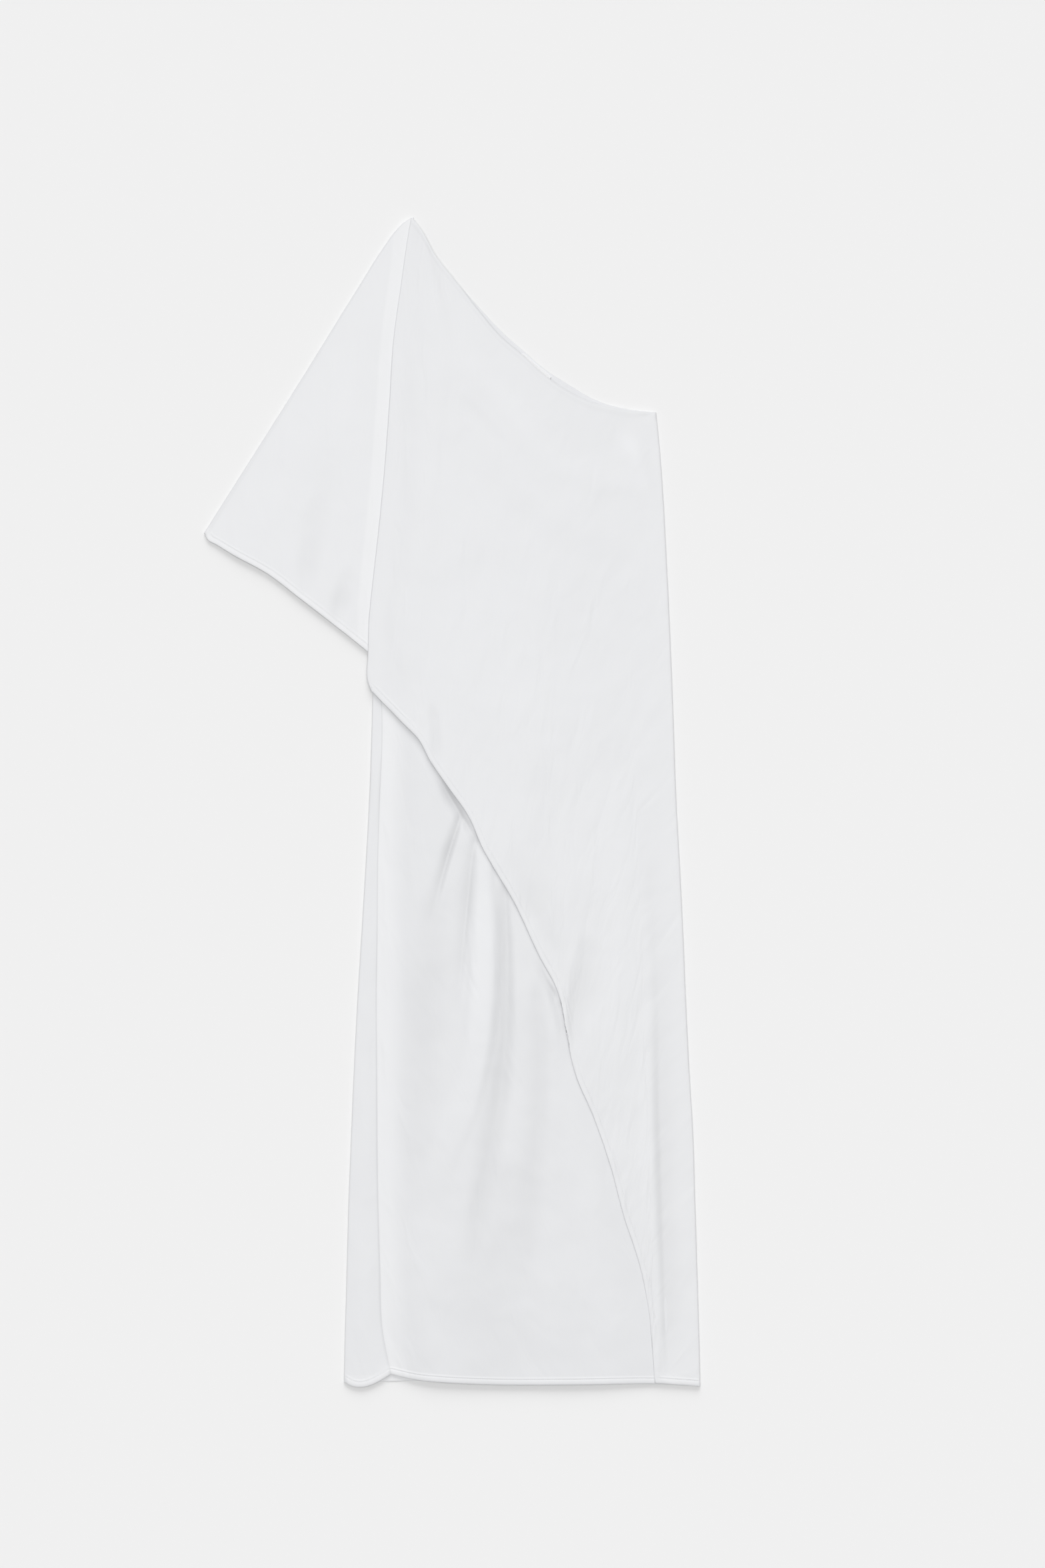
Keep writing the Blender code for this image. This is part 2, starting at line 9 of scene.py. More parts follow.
import bpy
import numpy as np
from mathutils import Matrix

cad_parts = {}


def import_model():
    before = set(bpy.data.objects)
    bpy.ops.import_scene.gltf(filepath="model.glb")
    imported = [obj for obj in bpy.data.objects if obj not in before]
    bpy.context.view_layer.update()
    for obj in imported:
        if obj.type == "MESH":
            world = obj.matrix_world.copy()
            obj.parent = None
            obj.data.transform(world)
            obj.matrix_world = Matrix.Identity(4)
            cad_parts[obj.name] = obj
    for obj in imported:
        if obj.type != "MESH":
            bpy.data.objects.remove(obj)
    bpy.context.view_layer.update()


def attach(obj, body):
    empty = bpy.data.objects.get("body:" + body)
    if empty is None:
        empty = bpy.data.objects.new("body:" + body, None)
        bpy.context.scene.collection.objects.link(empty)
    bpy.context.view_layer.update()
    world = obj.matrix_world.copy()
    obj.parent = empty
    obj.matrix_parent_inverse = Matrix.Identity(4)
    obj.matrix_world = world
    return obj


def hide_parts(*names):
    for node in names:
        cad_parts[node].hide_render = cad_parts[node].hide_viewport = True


MM = 0.001

# How the layers and seams lie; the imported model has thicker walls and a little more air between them
GAP = 0.3  # space between the back and the label
LAYER = 1.4  # from one cloth's face to the face of the cloth on it
REST = 0.35  # from the sleeve's face to the drape's cloth that is turned under on it
DRAPE_LIFT = 1.3  # more air between the drape and the front below it, away from the right side
PUFF_REACH = 60.0  # distance from a seam over which cloth reaches its full rise
RIGHT_REACH = 180.0  # the same beside the right side, which lies flatter
SEAM_TOP = 2.8  # height of the front's face along its upper seams
SIDE_ROLL = 1.8  # outer radius where the back rolls round the left side
SLEEVE_ROLL = 1.5  # outer radius of the fold along the sleeve's upper edge
PLEAT_ROLL = 1.1  # outer radius of the drape's left fold
PLEAT_SETTLE = (26.0, 75.0)  # distances from the fold between which the drape sinks to the front
SLEEVE_CLIMB = (-28.0, -4.0)  # distances before the armhole over which the sleeve climbs on the body
STRIP_BULGE = 10.0  # how far the side roll's hem hangs below its ends
STRIP_LEAN = 0.8  # below 1 the bulge leans to the outer end
STRIP_RISE = 10.0  # how far its end at the seam lies above its outer end
STRIP_CROWN = 0.7  # rise of the rolled strip in its middle, where it is FULL_STRIP wide
FULL_STRIP = 40.0
STRIP_HEM_REACH = 24.0  # stretch above the hem over which the strip's hem bends down
UNDERARM = 181.0  # height at which the side roll starts
ROLL_RISE = (151.0, 51.0)  # heights between which the side roll reaches its full height
SEAM_GAP = 0.5  # space between two edges along a curved seam
BACK_TOP = 1.2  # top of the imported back, on which the label lies
PLEAT_SLANT = 1.04  # slope of the hem on the turned-under cloth
PLEAT_HEM_REACH = 90.0  # stretch above the drape's hem over which that slope sets in
LABEL_WIDTH = 46.0
LABEL_HEIGHT = 15.0
LABEL_INSET = 2.0
LABEL_MIDDLE = 107.0
LABEL_SELVEDGE = 0.10  # rise of the label's woven edges, and how wide they are as a share of its height
LABEL_SELVEDGE_WIDTH = 0.06
LABEL_TURNING = 0.16  # rise of its turned ends, and the shares of its width in which they end
LABEL_TURNING_AT = (0.06, 0.10)
LABEL_CROWN = 0.12

# Sizes of the cloth, its hems and its edges
CLOTH = 0.8  # thickness of the cloth and of the label
RIM = 0.35  # how far a rounded rim stands out from its edge
FRONT_PUFF = 3.6  # how far the front rises above its seams
SLEEVE_PUFF = 1.2  # how far the sleeve rises above its folded edge
HEM_RISE = 0.3  # extra height of a turned hem
HEM_STEP = (7.2, 9.4)  # distances from a hem between which its turned edge ends
HEM_BACKED = (7.0, 9.2)  # the same for the brighter band of doubled cloth
HEM_ROUND = (-2.0, 2.2)  # distances between which the hem rounds down
EDGE_ROUND = (-1.5, 2.5)  # the same at a plain edge
SEAM_ROUND = (-1.0, 2.5)  # the same at a seam
EDGE_DROP = 0.5  # how far a hem or an edge rounds down
SEAM_DROP = 0.15  # how far the cloth rounds down into the side seam
EDGE_STEP = 0.16  # faint step of a plain edge, and the distances between which it ends
EDGE_STEP_AT = (5.0, 7.0)
FAR = 32.0  # distance that stands for any place away from a hem
STITCH_LINE = 6.4  # distance of the stitches from a hem
STITCH_GROOVE = 0.3  # depth and width of the groove that the stitches pull in
GROOVE_WIDTH = 0.7
STITCH_SINK = np.array([0.0, 0.0, -0.02])  # how far the stitches under the dress lie below its cloth
STITCH = (2.0, 0.7, 0.32)  # length of a stitch, the space after it, and its width
STITCHES_END = 8.0  # distance from the armhole at which the sleeve's stitches end
STITCH_SWELL = (0.12, 0.88)  # stretch of a half sine that its width follows
STITCH_DEPTH = 0.1  # how far its ends sink, as a share of its width
SIDES = 6  # rings along a stitch and sides round it
SIDE_ALLOWANCE = 12.0  # depth of the seam allowance beside the right side, and beside the armhole
ARMHOLE_ALLOWANCE = 22.0
PLEAT_ROUNDING = (1.0, 0.3)  # how far the drape's left fold lies below its cloth, at its top and its hem
PLEAT_ROUNDED = (22.0, 9.0)  # distances over which it rises
PLEAT_FADE = (660.0, 460.0)  # heights between which these change
DRAPE_SAG = 0.7  # how far the drape sinks to the front beside the lower stretch of its hem
SAG_REACH = (2.0, 34.0)  # distances from the hem over which it rises again
SAG_START = (-60.0, -150.0)  # heights between which that sets in
SIDE_WRAP = 2.6  # how far the drape's right edge curves out as it turns down over the layers below
SIDE_WRAP_END = 1.15  # height at which it ends, on the back
SIDE_INSET = 3.2  # how far the front's right edge lies inside that wrap
SIDE_REACH = 14.0  # distance over which a side edge is moved in

# Brightness: how much a layer below backs the cloth, of a full second layer, and the painted shade and
# highlight of folds
FOLD_SHADE_HEIGHT = 2.0  # fold height at which the painted highlight on a crest is strongest; a valley as deep gets the strongest painted shade
NECK_PAINTED_SHADE = -0.3  # painted shade on the drape's neck edge and on the sleeve's folded edge, as a share of a valley's
SLEEVE_EDGE_PAINTED_SHADE = -0.35
STRIP_BACKED = 0.2
STRIP_HEM_BACKED = 0.6
FRONT_HEM_BACKED = 0.25
SEAM_BACKED = (4.0, 38.0)  # distances from its left seam over which the front's second layer fades
DRAPE_BACKED = 0.38
DRAPE_HEM_BACKED = 0.15  # how much of the rest the drape's turned hem adds
# Painted shade: the drape's neck edge is backed less than the rest of the drape
DRAPE_NECK_SHADED_BACKING = 0.3
SLEEVE_BACKED = 0.45

# Points: along a line, along a fold, and round a roll, a pleat or a sleeve's fold
LINE_POINTS = 400
FOLD_POINTS = 120
RIM_TURNS = (np.pi * 0.25, np.pi * 0.5, np.pi * 0.75)
ROLL_STEPS = 10
TURN_STEPS = 9
TRIAL_ROWS = 60  # rows of the first patch, which only measures each column
NEAR_ROWS = 14  # main rows before a hem's close ones that still take its shape
STITCH_ROWS = 30  # last rows among which the stitches' distance is looked for

# Strength and shift of each cloth's slow waves
WAVES_OF = {
    "back": (0.45, 3.0), "strip": (0.35, 7.0), "front": (0.5, 0.0), "drape": (0.42, 1.0),
    "sleeve": (0.4, 5.0), "sleeve back": (0.7, 9.0),
}

# Distances, or heights for the back's hem, between which folds and waves grow from nothing to full
CALM = {
    "back side": (0.0, 25.0), "back hem": (-716.0, -690.0),
    "drape side": (0.0, 30.0), "drape fold": (4.0, 40.0),
    "sleeve edge": (0.0, 30.0), "sleeve seam": (0.0, 24.0), "sleeve hem": (2.0, 14.0),
    "lower edge": (4.0, 40.0), "lower armhole": (4.0, 30.0), "lower hem": (8.0, 30.0),
}

# Distances from a hem at which its rows lie, and the same for a neck edge
HEM_ROWS = np.array([14.0, 12.0, 10.5, 9.4, 8.4, 7.6, 7.0, 6.4, 5.8, 5.0, 4.0, 3.0, 2.0, 1.2, 0.5, 0.0])
EDGE_ROWS = np.array([0.0, 0.5, 1.2, 2.2, 3.6, 5.4, 7.5])

# Shares across the front of its columns, and down it of its main rows, closer together where it shows
FRONT_COLUMNS = np.concatenate([
    [0.0, 0.002, 0.005, 0.009, 0.014, 0.020, 0.028, 0.038, 0.050, 0.064],
    np.linspace(0.08, 0.60, 104), np.linspace(0.60, 0.985, 32)[1:], [0.991, 0.996, 1.0],
])
FRONT_ROWS = np.concatenate([np.linspace(0.0, 0.40, 30), np.linspace(0.40, 1.0, 205)[1:]])

# Main columns and rows of the other cloths
BACK_COLUMNS, BACK_ROWS, STRIP_COLUMNS = 62, 190, 15
DRAPE_COLUMNS, CORNER_COLUMNS, DRAPE_ROWS, PLEAT_COLUMNS = 124, 26, 240, 8
SLEEVE_COLUMNS, LOWER_COLUMNS, SLEEVE_ROWS = 84, 48, 120
LABEL_COLUMNS, LABEL_ROWS = 70, 26
BACK_ENDS = (0.03, 0.02, 0.003)  # shares of the back's width in which columns lie closer, and the first step
CORNER_SHARE = 23 / 26  # share of the drape's width at which its diagonal hem meets the bottom one
NECK_FADE = (0.0, 2.4)  # distances from the drape's neck edge over which its painted shade fades


def table(columns, *rows):
    """A short table: a dictionary with one array for each named column."""
    return dict(zip(columns.split(), np.array(rows, float).T))


# Neck edge of the back, and how far below it the front's neck edge lies
NECK = table(
    "across up drop",
    (-50, 727, 0), (-43, 719, 0), (-20, 679, 0), (10, 642, 1), (32, 617, 5), (63, 584, 8), (88, 562, 7),
    (111, 542, 8), (149, 517, 9), (177, 501, 5), (200, 493, 2), (225, 488, 1), (254, 485, 0),
)

# Left edge of the back, and the front's left seam beside it
LEFT_SIDE = table(
    "up edge seam",
    (727, -50, -50), (690, -52.5, -52), (639, -59, -58), (578, -67, -66), (493, -73, -72), (415, -79, -78),
    (342, -86, -85), (278, -93, -92), (227, -97, -95), (181, -98, -93), (130, -99, -88), (86, -100, -87),
    (3, -103, -90), (-80, -107.5, -92.5), (-163, -112.5, -93), (-246, -117.5, -94), (-329, -121.6, -93.5),
    (-412, -125, -93), (-495, -128, -92), (-578, -130, -89.5), (-661, -132, -86), (-712, -133, -76),
)

RIGHT_SIDE = table(
    "up edge",
    (485, 254), (434, 259), (393, 262), (302, 267), (194, 272), (119, 275), (3, 279), (-80, 283.5),
    (-163, 287.6), (-246, 291), (-329, 295), (-412, 300), (-495, 302.5), (-578, 305), (-661, 307.5),
    (-726, 309),
)

# Bottom hem of the front, and of the back below it
BOTTOM = table(
    "across front back",
    (-133, -712, -722), (-76, -712, -721), (-50, -718, -720.5), (-10, -722, -721), (58, -725, -722),
    (142, -725, -722), (252, -724, -722), (309, -726, -723),
)

# The drape's left fold, and how deep its cloth is turned under
PLEAT = table(
    "up across depth",
    (724, -49, 3), (703, -53, 3.5), (639, -63, 5), (578, -72, 8), (493, -78, 11), (415, -84, 14),
    (342, -91, 17), (278, -98, 19), (227, -103, 22), (184, -104, 24), (150, -104, 26), (137, -99, 26),
)

# The drape's diagonal hem, with its small waves, and the corner where its short bottom hem ends
DRAPE_HEM = table(
    "across up",
    (-99, 137), (-61, 98), (-40, 76), (-28, 53), (-7, 22), (22, -20), (39, -59), (51, -80), (76, -122),
    (109, -192), (131, -234), (142, -283), (153, -336), (176, -391), (198, -455), (213, -512), (235, -581),
    (246, -640), (252, -723),
)
DRAPE_CORNER = (309.0, -727.0)

SLEEVE_EDGE = table(
    "across up",
    (-53, 726), (-61, 721), (-69, 713), (-86, 690), (-115, 644), (-190, 523), (-309, 335),
)
SLEEVE_HEM = table(
    "across up",
    (-309, 335), (-305, 327), (-296, 322), (-273, 308), (-231, 285), (-190, 254), (-132, 209), (-98, 182),
    (-73, 164),
)


def fold(sharpness, *rows):
    """One fold: how sharp its crest is, and points along it with half widths to each side and a height.

    Left and right are as seen when going down the table. A valley's height is below zero.
    """
    return sharpness, table("x y left right height", *rows)


ROUND = 1.0  # a crest like a cosine wave
FIRM = 0.8
CRISP = 0.6  # a crest that comes nearly to a line
BROAD = 1.7  # a crest with a flat top

FRONT_FOLDS = [
    fold(CRISP, (-66, 96, 6, 8, 0), (-40, 66, 7, 10, -0.4), (-18, 34, 7, 14, -0.9), (-1, 5, 6, 16, -2.8),
         (14, -20, 6, 14, -1.9), (29, -46, 6, 9, -0.6), (44, -74, 5, 6, 0)),
    fold(CRISP, (104, -188, 5, 8, 0), (114, -218, 6, 12, -0.9), (127, -240, 6, 15, -1.6),
         (135, -266, 6, 13, -1.2), (142, -306, 5, 9, -0.5), (150, -345, 5, 6, 0)),
    fold(CRISP, (13, -6, 5, 10, 0), (8, -28, 5, 13, -1.6), (-3, -63, 6, 16, -2.3), (-13, -98, 6, 16, -1.5),
         (-21, -126, 8, 18, -0.6), (-30, -160, 12, 18, 0)),
    fold(ROUND, (-14, -96, 28, 26, 0), (-24, -150, 38, 38, -0.7), (-32, -230, 40, 44, -1.0),
         (-38, -330, 38, 44, -1.0), (-40, -420, 34, 40, -0.6), (-40, -510, 30, 34, 0)),
    fold(CRISP, (35, -28, 5, 8, 0), (29, -49, 6, 14, -0.9), (20, -122, 6, 22, -1.3),
         (13, -190, 7, 24, -0.9), (8, -235, 8, 22, -0.5), (0, -275, 10, 16, 0)),
    fold(BROAD, (38, -50, 12, 8, 0), (38, -90, 16, 12, 1.0), (38, -145, 24, 19, 1.7),
         (36, -246, 25, 23, 1.6), (30, -329, 18, 26, 0.9), (16, -385, 18, 28, 0.6),
         (-8, -440, 20, 28, 0.3), (-30, -500, 20, 24, 0)),
    fold(FIRM, (66, -88, 8, 10, 0), (66, -117, 8, 15, -0.9), (68, -180, 12, 18, -1.6),
         (68, -246, 15, 19, -1.6), (65, -300, 18, 23, -1.7), (60, -360, 20, 28, -1.7),
         (50, -418, 22, 28, -1.5), (42, -469, 22, 26, -1.2), (34, -522, 20, 24, -0.8),
         (22, -600, 16, 20, 0)),
    fold(FIRM, (106, -215, 12, 12, 0), (107, -246, 15, 18, -0.7), (110, -332, 18, 24, -0.9),
         (108, -384, 20, 28, -1.0), (103, -453, 22, 30, -0.9), (97, -538, 22, 28, -0.6),
         (88, -620, 20, 24, 0)),
    fold(ROUND, (78, -420, 30, 30, 0), (66, -500, 60, 56, -0.4), (54, -580, 76, 66, -0.65),
         (48, -650, 80, 70, -0.6), (46, -760, 70, 60, -0.4)),
    fold(ROUND, (148, -350, 24, 22, 0), (156, -412, 30, 34, 0.3), (170, -500, 40, 44, 0.4),
         (190, -620, 44, 48, 0.4), (200, -730, 40, 44, 0.2)),
    fold(ROUND, (-78, 84, 14, 9, 0), (-78, 0, 18, 12, 0.2), (-80, -165, 24, 13, 0.3),
         (-80, -330, 26, 14, 0.3), (-78, -500, 24, 13, 0.3), (-72, -640, 18, 12, 0.2),
         (-64, -704, 10, 8, 0)),
]
DRAPE_FOLDS = [
    fold(FIRM, (236, 30, 26, 16, 0), (246, -60, 30, 16, -0.15), (252, -130, 30, 15, -0.3),
         (255, -201, 30, 13, -0.45), (258, -276, 32, 12, -0.7), (258, -349, 32, 11, -1.0),
         (260, -453, 32, 10, -1.2), (263, -556, 32, 9, -1.2), (266, -650, 32, 9, -1.1),
         (268, -705, 26, 8, -0.4), (268, -722, 20, 8, 0)),
    fold(ROUND, (238, -220, 12, 14, 0), (243, -300, 12, 16, 0.25), (246, -412, 11, 18, 0.5),
         (248, -520, 10, 16, 0.4), (250, -620, 8, 10, 0)),
    fold(ROUND, (66, -50, 20, 14, 0), (84, -88, 30, 18, -0.4), (102, -132, 38, 20, -0.7),
         (124, -172, 34, 16, -0.5), (138, -205, 20, 10, 0)),
    fold(ROUND, (188, 90, 30, 30, 0), (204, -40, 38, 38, 0.2), (212, -160, 36, 36, 0.4),
         (208, -270, 30, 30, 0.3), (204, -380, 22, 22, 0)),
    fold(FIRM, (-25, 126, 8, 8, 0), (-22, 103, 10, 12, -0.8), (-19, 70, 10, 12, -0.8), (-17, 44, 8, 8, 0)),
    fold(FIRM, (168, -158, 20, 12, 0), (164, -192, 38, 14, -0.8), (154, -236, 52, 13, -1.3),
         (149, -276, 34, 10, -0.9), (151, -315, 16, 7, -0.4), (150, -350, 8, 6, 0)),
    fold(ROUND, (75, 220, 30, 30, 0), (77, 130, 32, 32, 0.2), (76, 40, 30, 30, 0)),
    fold(ROUND, (112, 80, 30, 30, 0), (114, 5, 30, 30, -0.3), (113, -65, 30, 30, -0.3),
         (112, -160, 28, 28, 0)),
    fold(FIRM, (-37, 714, 5, 5, 0), (-28, 680, 9, 9, -0.2), (-16, 632, 12, 12, -0.3),
         (-6, 590, 12, 12, -0.2), (3, 552, 14, 14, 0)),
    fold(ROUND, (-10, 600, 18, 18, 0), (30, 535, 26, 24, 0.3), (68, 492, 28, 26, 0.4),
         (142, 418, 28, 26, 0.3), (208, 398, 26, 26, 0.3), (258, 389, 14, 14, 0)),
    fold(FIRM, (6, 508, 10, 10, 0), (32, 482, 14, 16, -0.35), (56, 456, 12, 14, -0.3),
         (74, 440, 10, 10, 0)),
    fold(ROUND, (14, 450, 22, 22, 0), (60, 392, 26, 30, -0.2), (126, 335, 26, 30, -0.2),
         (200, 305, 26, 28, -0.15), (262, 292, 14, 14, 0)),
    fold(ROUND, (204, 466, 14, 14, 0), (226, 436, 22, 22, 0.9), (240, 396, 16, 16, 0.4),
         (250, 360, 10, 10, 0)),
    fold(FIRM, (226, 481, 5, 3, 0), (242, 480, 8, 5, -0.5), (253, 483, 5, 3, 0)),
    fold(ROUND, (-66, 560, 14, 14, 0), (-56, 470, 20, 20, -0.15), (-54, 360, 20, 20, -0.15),
         (-60, 250, 16, 16, 0)),
]
SLEEVE_FOLDS = [
    fold(ROUND, (-152, 440, 22, 22, 0), (-161, 392, 24, 24, -0.2), (-170, 346, 24, 24, -0.5),
         (-178, 300, 22, 22, -0.8), (-184, 262, 18, 18, -0.3), (-186, 252, 12, 12, 0)),
    fold(FIRM, (-124, 296, 12, 12, 0), (-132, 274, 20, 18, -0.4), (-139, 248, 22, 20, -1.0),
         (-146, 224, 16, 14, -0.5), (-149, 212, 10, 10, 0)),
    fold(ROUND, (-120, 560, 14, 14, 0), (-135, 480, 24, 24, 0.2), (-150, 400, 20, 20, 0)),
    fold(ROUND, (-205, 420, 16, 16, 0), (-222, 372, 22, 22, 0.2), (-232, 322, 14, 14, 0)),
]
BACK_FOLDS = [
    fold(FIRM, (20, 560, 14, 14, 0), (60, 400, 20, 22, 1.2), (90, 220, 22, 24, 1.3), (88, 60, 16, 16, 0)),
    fold(FIRM, (200, 380, 12, 12, 0), (170, 200, 22, 18, 1.1), (176, -40, 24, 20, 1.2),
         (190, -240, 16, 16, 0)),
    fold(FIRM, (-30, 60, 12, 12, 0), (-34, -120, 20, 24, 1.1), (-20, -330, 22, 26, 1.3),
         (-30, -560, 14, 14, 0)),
    fold(FIRM, (60, -150, 12, 12, 0), (72, -320, 20, 18, 1.3), (50, -520, 22, 20, 1.2),
         (30, -690, 14, 14, 0.3)),
    fold(FIRM, (240, -200, 12, 12, 0), (228, -380, 18, 22, 1.1), (236, -600, 16, 18, 0.8),
         (244, -700, 10, 10, 0)),
    fold(FIRM, (-40, 500, 8, 8, 0), (-20, 380, 16, 14, 0.9), (-46, 240, 12, 12, 0)),
]

# Slow uneven waves of laid cloth: a length, the angle of its direction in degrees, a phase, and a height
WAVES = table(
    "length angle phase height",
    (260, 12, 0.4, 0.42), (190, 74, 2.1, 0.34), (132, -38, 4.0, 0.24), (96, 20, 1.2, 0.15),
    (71, 101, 5.1, 0.10), (57, -17, 3.3, 0.08), (43, 48, 0.9, 0.05), (34, -70, 2.7, 0.035),
)
WAVE_SKEW = 0.7  # how much less the shift moves the waves downwards
WAVE_BEND = 14.0  # how far they bend each other, over this share of their own length
WAVE_BEND_LENGTH = 1.7


def ease(value, low, high):
    """Rises smoothly from 0 at low to 1 at high."""
    share = np.clip((value - low) / (high - low), 0.0, 1.0)
    return share * share * (3.0 - 2.0 * share)


def fading(value, low, high):
    """Falls smoothly from 1 at low to 0 at high."""
    return 1.0 - ease(value, low, high)


def blend(first, second, share):
    return first + (second - first) * share


def even(count):
    """Evenly spaced shares from 0 to 1."""
    return np.linspace(0.0, 1.0, count)


def travelled(line):
    """Distance along a line, in the plane or in space, from its start to each of its points."""
    return np.concatenate([[0.0], np.cumsum(np.linalg.norm(np.diff(line, axis=0), axis=1))])


def unit(vectors):
    """Rows of vectors made one long; a row of zeros stays."""
    return vectors / np.maximum(np.linalg.norm(vectors, axis=1), 1e-9)[:, None]


def smooth_line(across, up):
    """A smooth line through the points: cubic pieces whose slopes at each point average its two sides."""
    knots = np.column_stack([across, up]).astype(float)
    at = travelled(knots)
    lengths = np.diff(at)
    slopes = np.diff(knots, axis=0) / lengths[:, None]
    weights = lengths[1:, None] / (lengths[1:] + lengths[:-1])[:, None]
    inner = slopes[:-1] * weights + slopes[1:] * (1.0 - weights)
    tangents = np.vstack([slopes[:1], inner, slopes[-1:]])
    where = np.linspace(0.0, at[-1], 2 * LINE_POINTS)
    index = np.clip(np.searchsorted(at, where, side="right") - 1, 0, len(lengths) - 1)
    step = lengths[index][:, None]
    t = ((where - at[index]) / lengths[index])[:, None]
    start = knots[index] * (2 * t**3 - 3 * t**2 + 1) + tangents[index] * step * (t**3 - 2 * t**2 + t)
    end = knots[index + 1] * (3 * t**2 - 2 * t**3) + tangents[index + 1] * step * (t**3 - t**2)
    line = start + end
    reached = travelled(line)
    return at_share(line, reached / reached[-1], even(LINE_POINTS))


def at_share(line, shares, wanted):
    """Points of a line at the wanted shares, where shares gives the share of each of its points."""
    return np.stack([np.interp(wanted, shares, line[:, k]) for k in range(line.shape[1])], axis=-1)


def along(line, wanted):
    """Points at the wanted shares of an evenly spaced line's length."""
    return at_share(line, even(len(line)), wanted)


def part_of(line, start, end):
    """The stretch of a line between two shares of its length."""
    return along(line, np.linspace(start, end, LINE_POINTS))


def outward(line, side):
    """Unit vectors across a line, to its left (side 1) or its right (side -1)."""
    heading = unit(np.gradient(line, axis=0))
    return side * np.column_stack([-heading[:, 1], heading[:, 0]])


def line_of(rows, across="across", up="up", shift=0.0):
    """The smooth line through two columns of a table, moved to the right by shift."""
    return smooth_line(rows[across] + shift, rows[up])


def across_at(line, up):
    """Place across of a line that goes downwards, at given heights."""
    return np.interp(-up, -line[:, 1], line[:, 0])


def edge_at(rows, column, up):
    """The same for the smooth line of a table."""
    return across_at(line_of(rows, column), up)


def straight(left, right):
    """The straight line between the first points of two lines."""
    return smooth_line(*np.array([left[0], right[0]]).T)


def joined(start, line, end):
    """A line whose two ends are moved on to given points, its middle following softly."""
    share = even(len(line))[:, None]
    return line + (start - line[0]) * (1 - share) ** 4 + (end - line[-1]) * share**4


def patch(top, bottom, left, right, across, down):
    """Grid of points between four edge lines: opposite edges blended, less the blend of the corners.

    top and bottom run left to right; left and right run top to bottom. down holds a share for each
    row, or for each point of the grid. The result's first index goes down.
    """
    u = across[None, :, None]
    v = down[:, None] if down.ndim == 1 else down
    v = np.broadcast_to(v, (len(down), len(across)))
    lefts = along(left, v)
    rights = along(right, v)
    v = v[..., None]
    upper = along(top, across)[None]
    lower = along(bottom, across)[None]
    corners = (1 - v) * ((1 - u) * top[0] + u * top[-1]) + v * ((1 - u) * bottom[0] + u * bottom[-1])
    return (1 - v) * upper + v * lower + (1 - u) * lefts + u * rights - corners


def spread(share, line):
    """Shares of a line's length, half by its length and half by how far across it has come."""
    across = np.maximum.accumulate(line[:, 0])
    across = (across - across[0]) / (across[-1] - across[0]) + np.linspace(0.0, 1e-6, len(line))
    by_width = np.interp(share, across, even(len(line)))
    return 0.5 * (share + by_width)


def hemmed_patch(top, bottom, left, right, across, rows, edge_rows):
    """A patch with close rows beside its top and its hem.

    A first even patch gives each column's length and how steeply it meets the hem; each close row
    then lies at its distance measured square to the hem. rows holds the main rows' shares of the way
    between. Returns the grid and the number of rows before the close ones of the hem.
    """
    steepest, hem_part, edge_part = 0.3, 0.4, 0.3
    trial = patch(top, bottom, left, right, across, even(TRIAL_ROWS))
    length = np.linalg.norm(np.diff(trial, axis=0), axis=2).sum(axis=0)
    last = unit(trial[-2] - trial[-1])
    square = np.clip(np.abs((last * outward(trial[-1], 1)).sum(1)), steepest, 1.0)
    low = np.minimum(HEM_ROWS[:, None] / square, length * hem_part * HEM_ROWS[:, None] / HEM_ROWS[0])
    high = np.minimum(edge_rows[:, None], length * edge_part)
    main = blend(high[-1], length - low[0], rows[:, None])
    down = np.concatenate([high[:-1], main, (length - low)[1:]]) / length
    return patch(top, bottom, left, right, across, down), len(high) - 1 + len(rows)


def hem_shape(distance):
    """Height of a turned hem: raised to its depth, pulled in along the stitches, rounded down at its edge."""
    groove = STITCH_GROOVE * np.exp(-(((distance - STITCH_LINE) / GROOVE_WIDTH) ** 2))
    return HEM_RISE * fading(distance, *HEM_STEP) - groove - EDGE_DROP * fading(distance, *HEM_ROUND)


def hem_distance(grid, main_rows):
    """Distance to the last row for the rows near it, and a far distance for the others."""
    distance = np.full(grid.shape[:2], FAR)
    near = main_rows - NEAR_ROWS
    distance[near:] = distance_to(along(grid[-1], even(4 * LINE_POINTS)), grid[near:])
    return distance


def hem_band(distance):
    """1 where the turned hem backs the cloth."""
    return fading(distance, *HEM_BACKED)


def stitch_line(surface, distance):
    """Points at the stitches' distance from the hem, one in each column."""
    rows = distance[-STITCH_ROWS:][::-1]
    heights = surface[-STITCH_ROWS:][::-1]
    return np.array([
        [np.interp(STITCH_LINE, rows[:, column], heights[:, column, axis]) for axis in range(3)]
        for column in range(surface.shape[1])
    ])


def edge_shape(distance):
    """A clean turned edge: rounded down at the edge, with a faint step where the turning ends."""
    return EDGE_STEP * fading(distance, *EDGE_STEP_AT) - EDGE_DROP * fading(distance, *EDGE_ROUND)


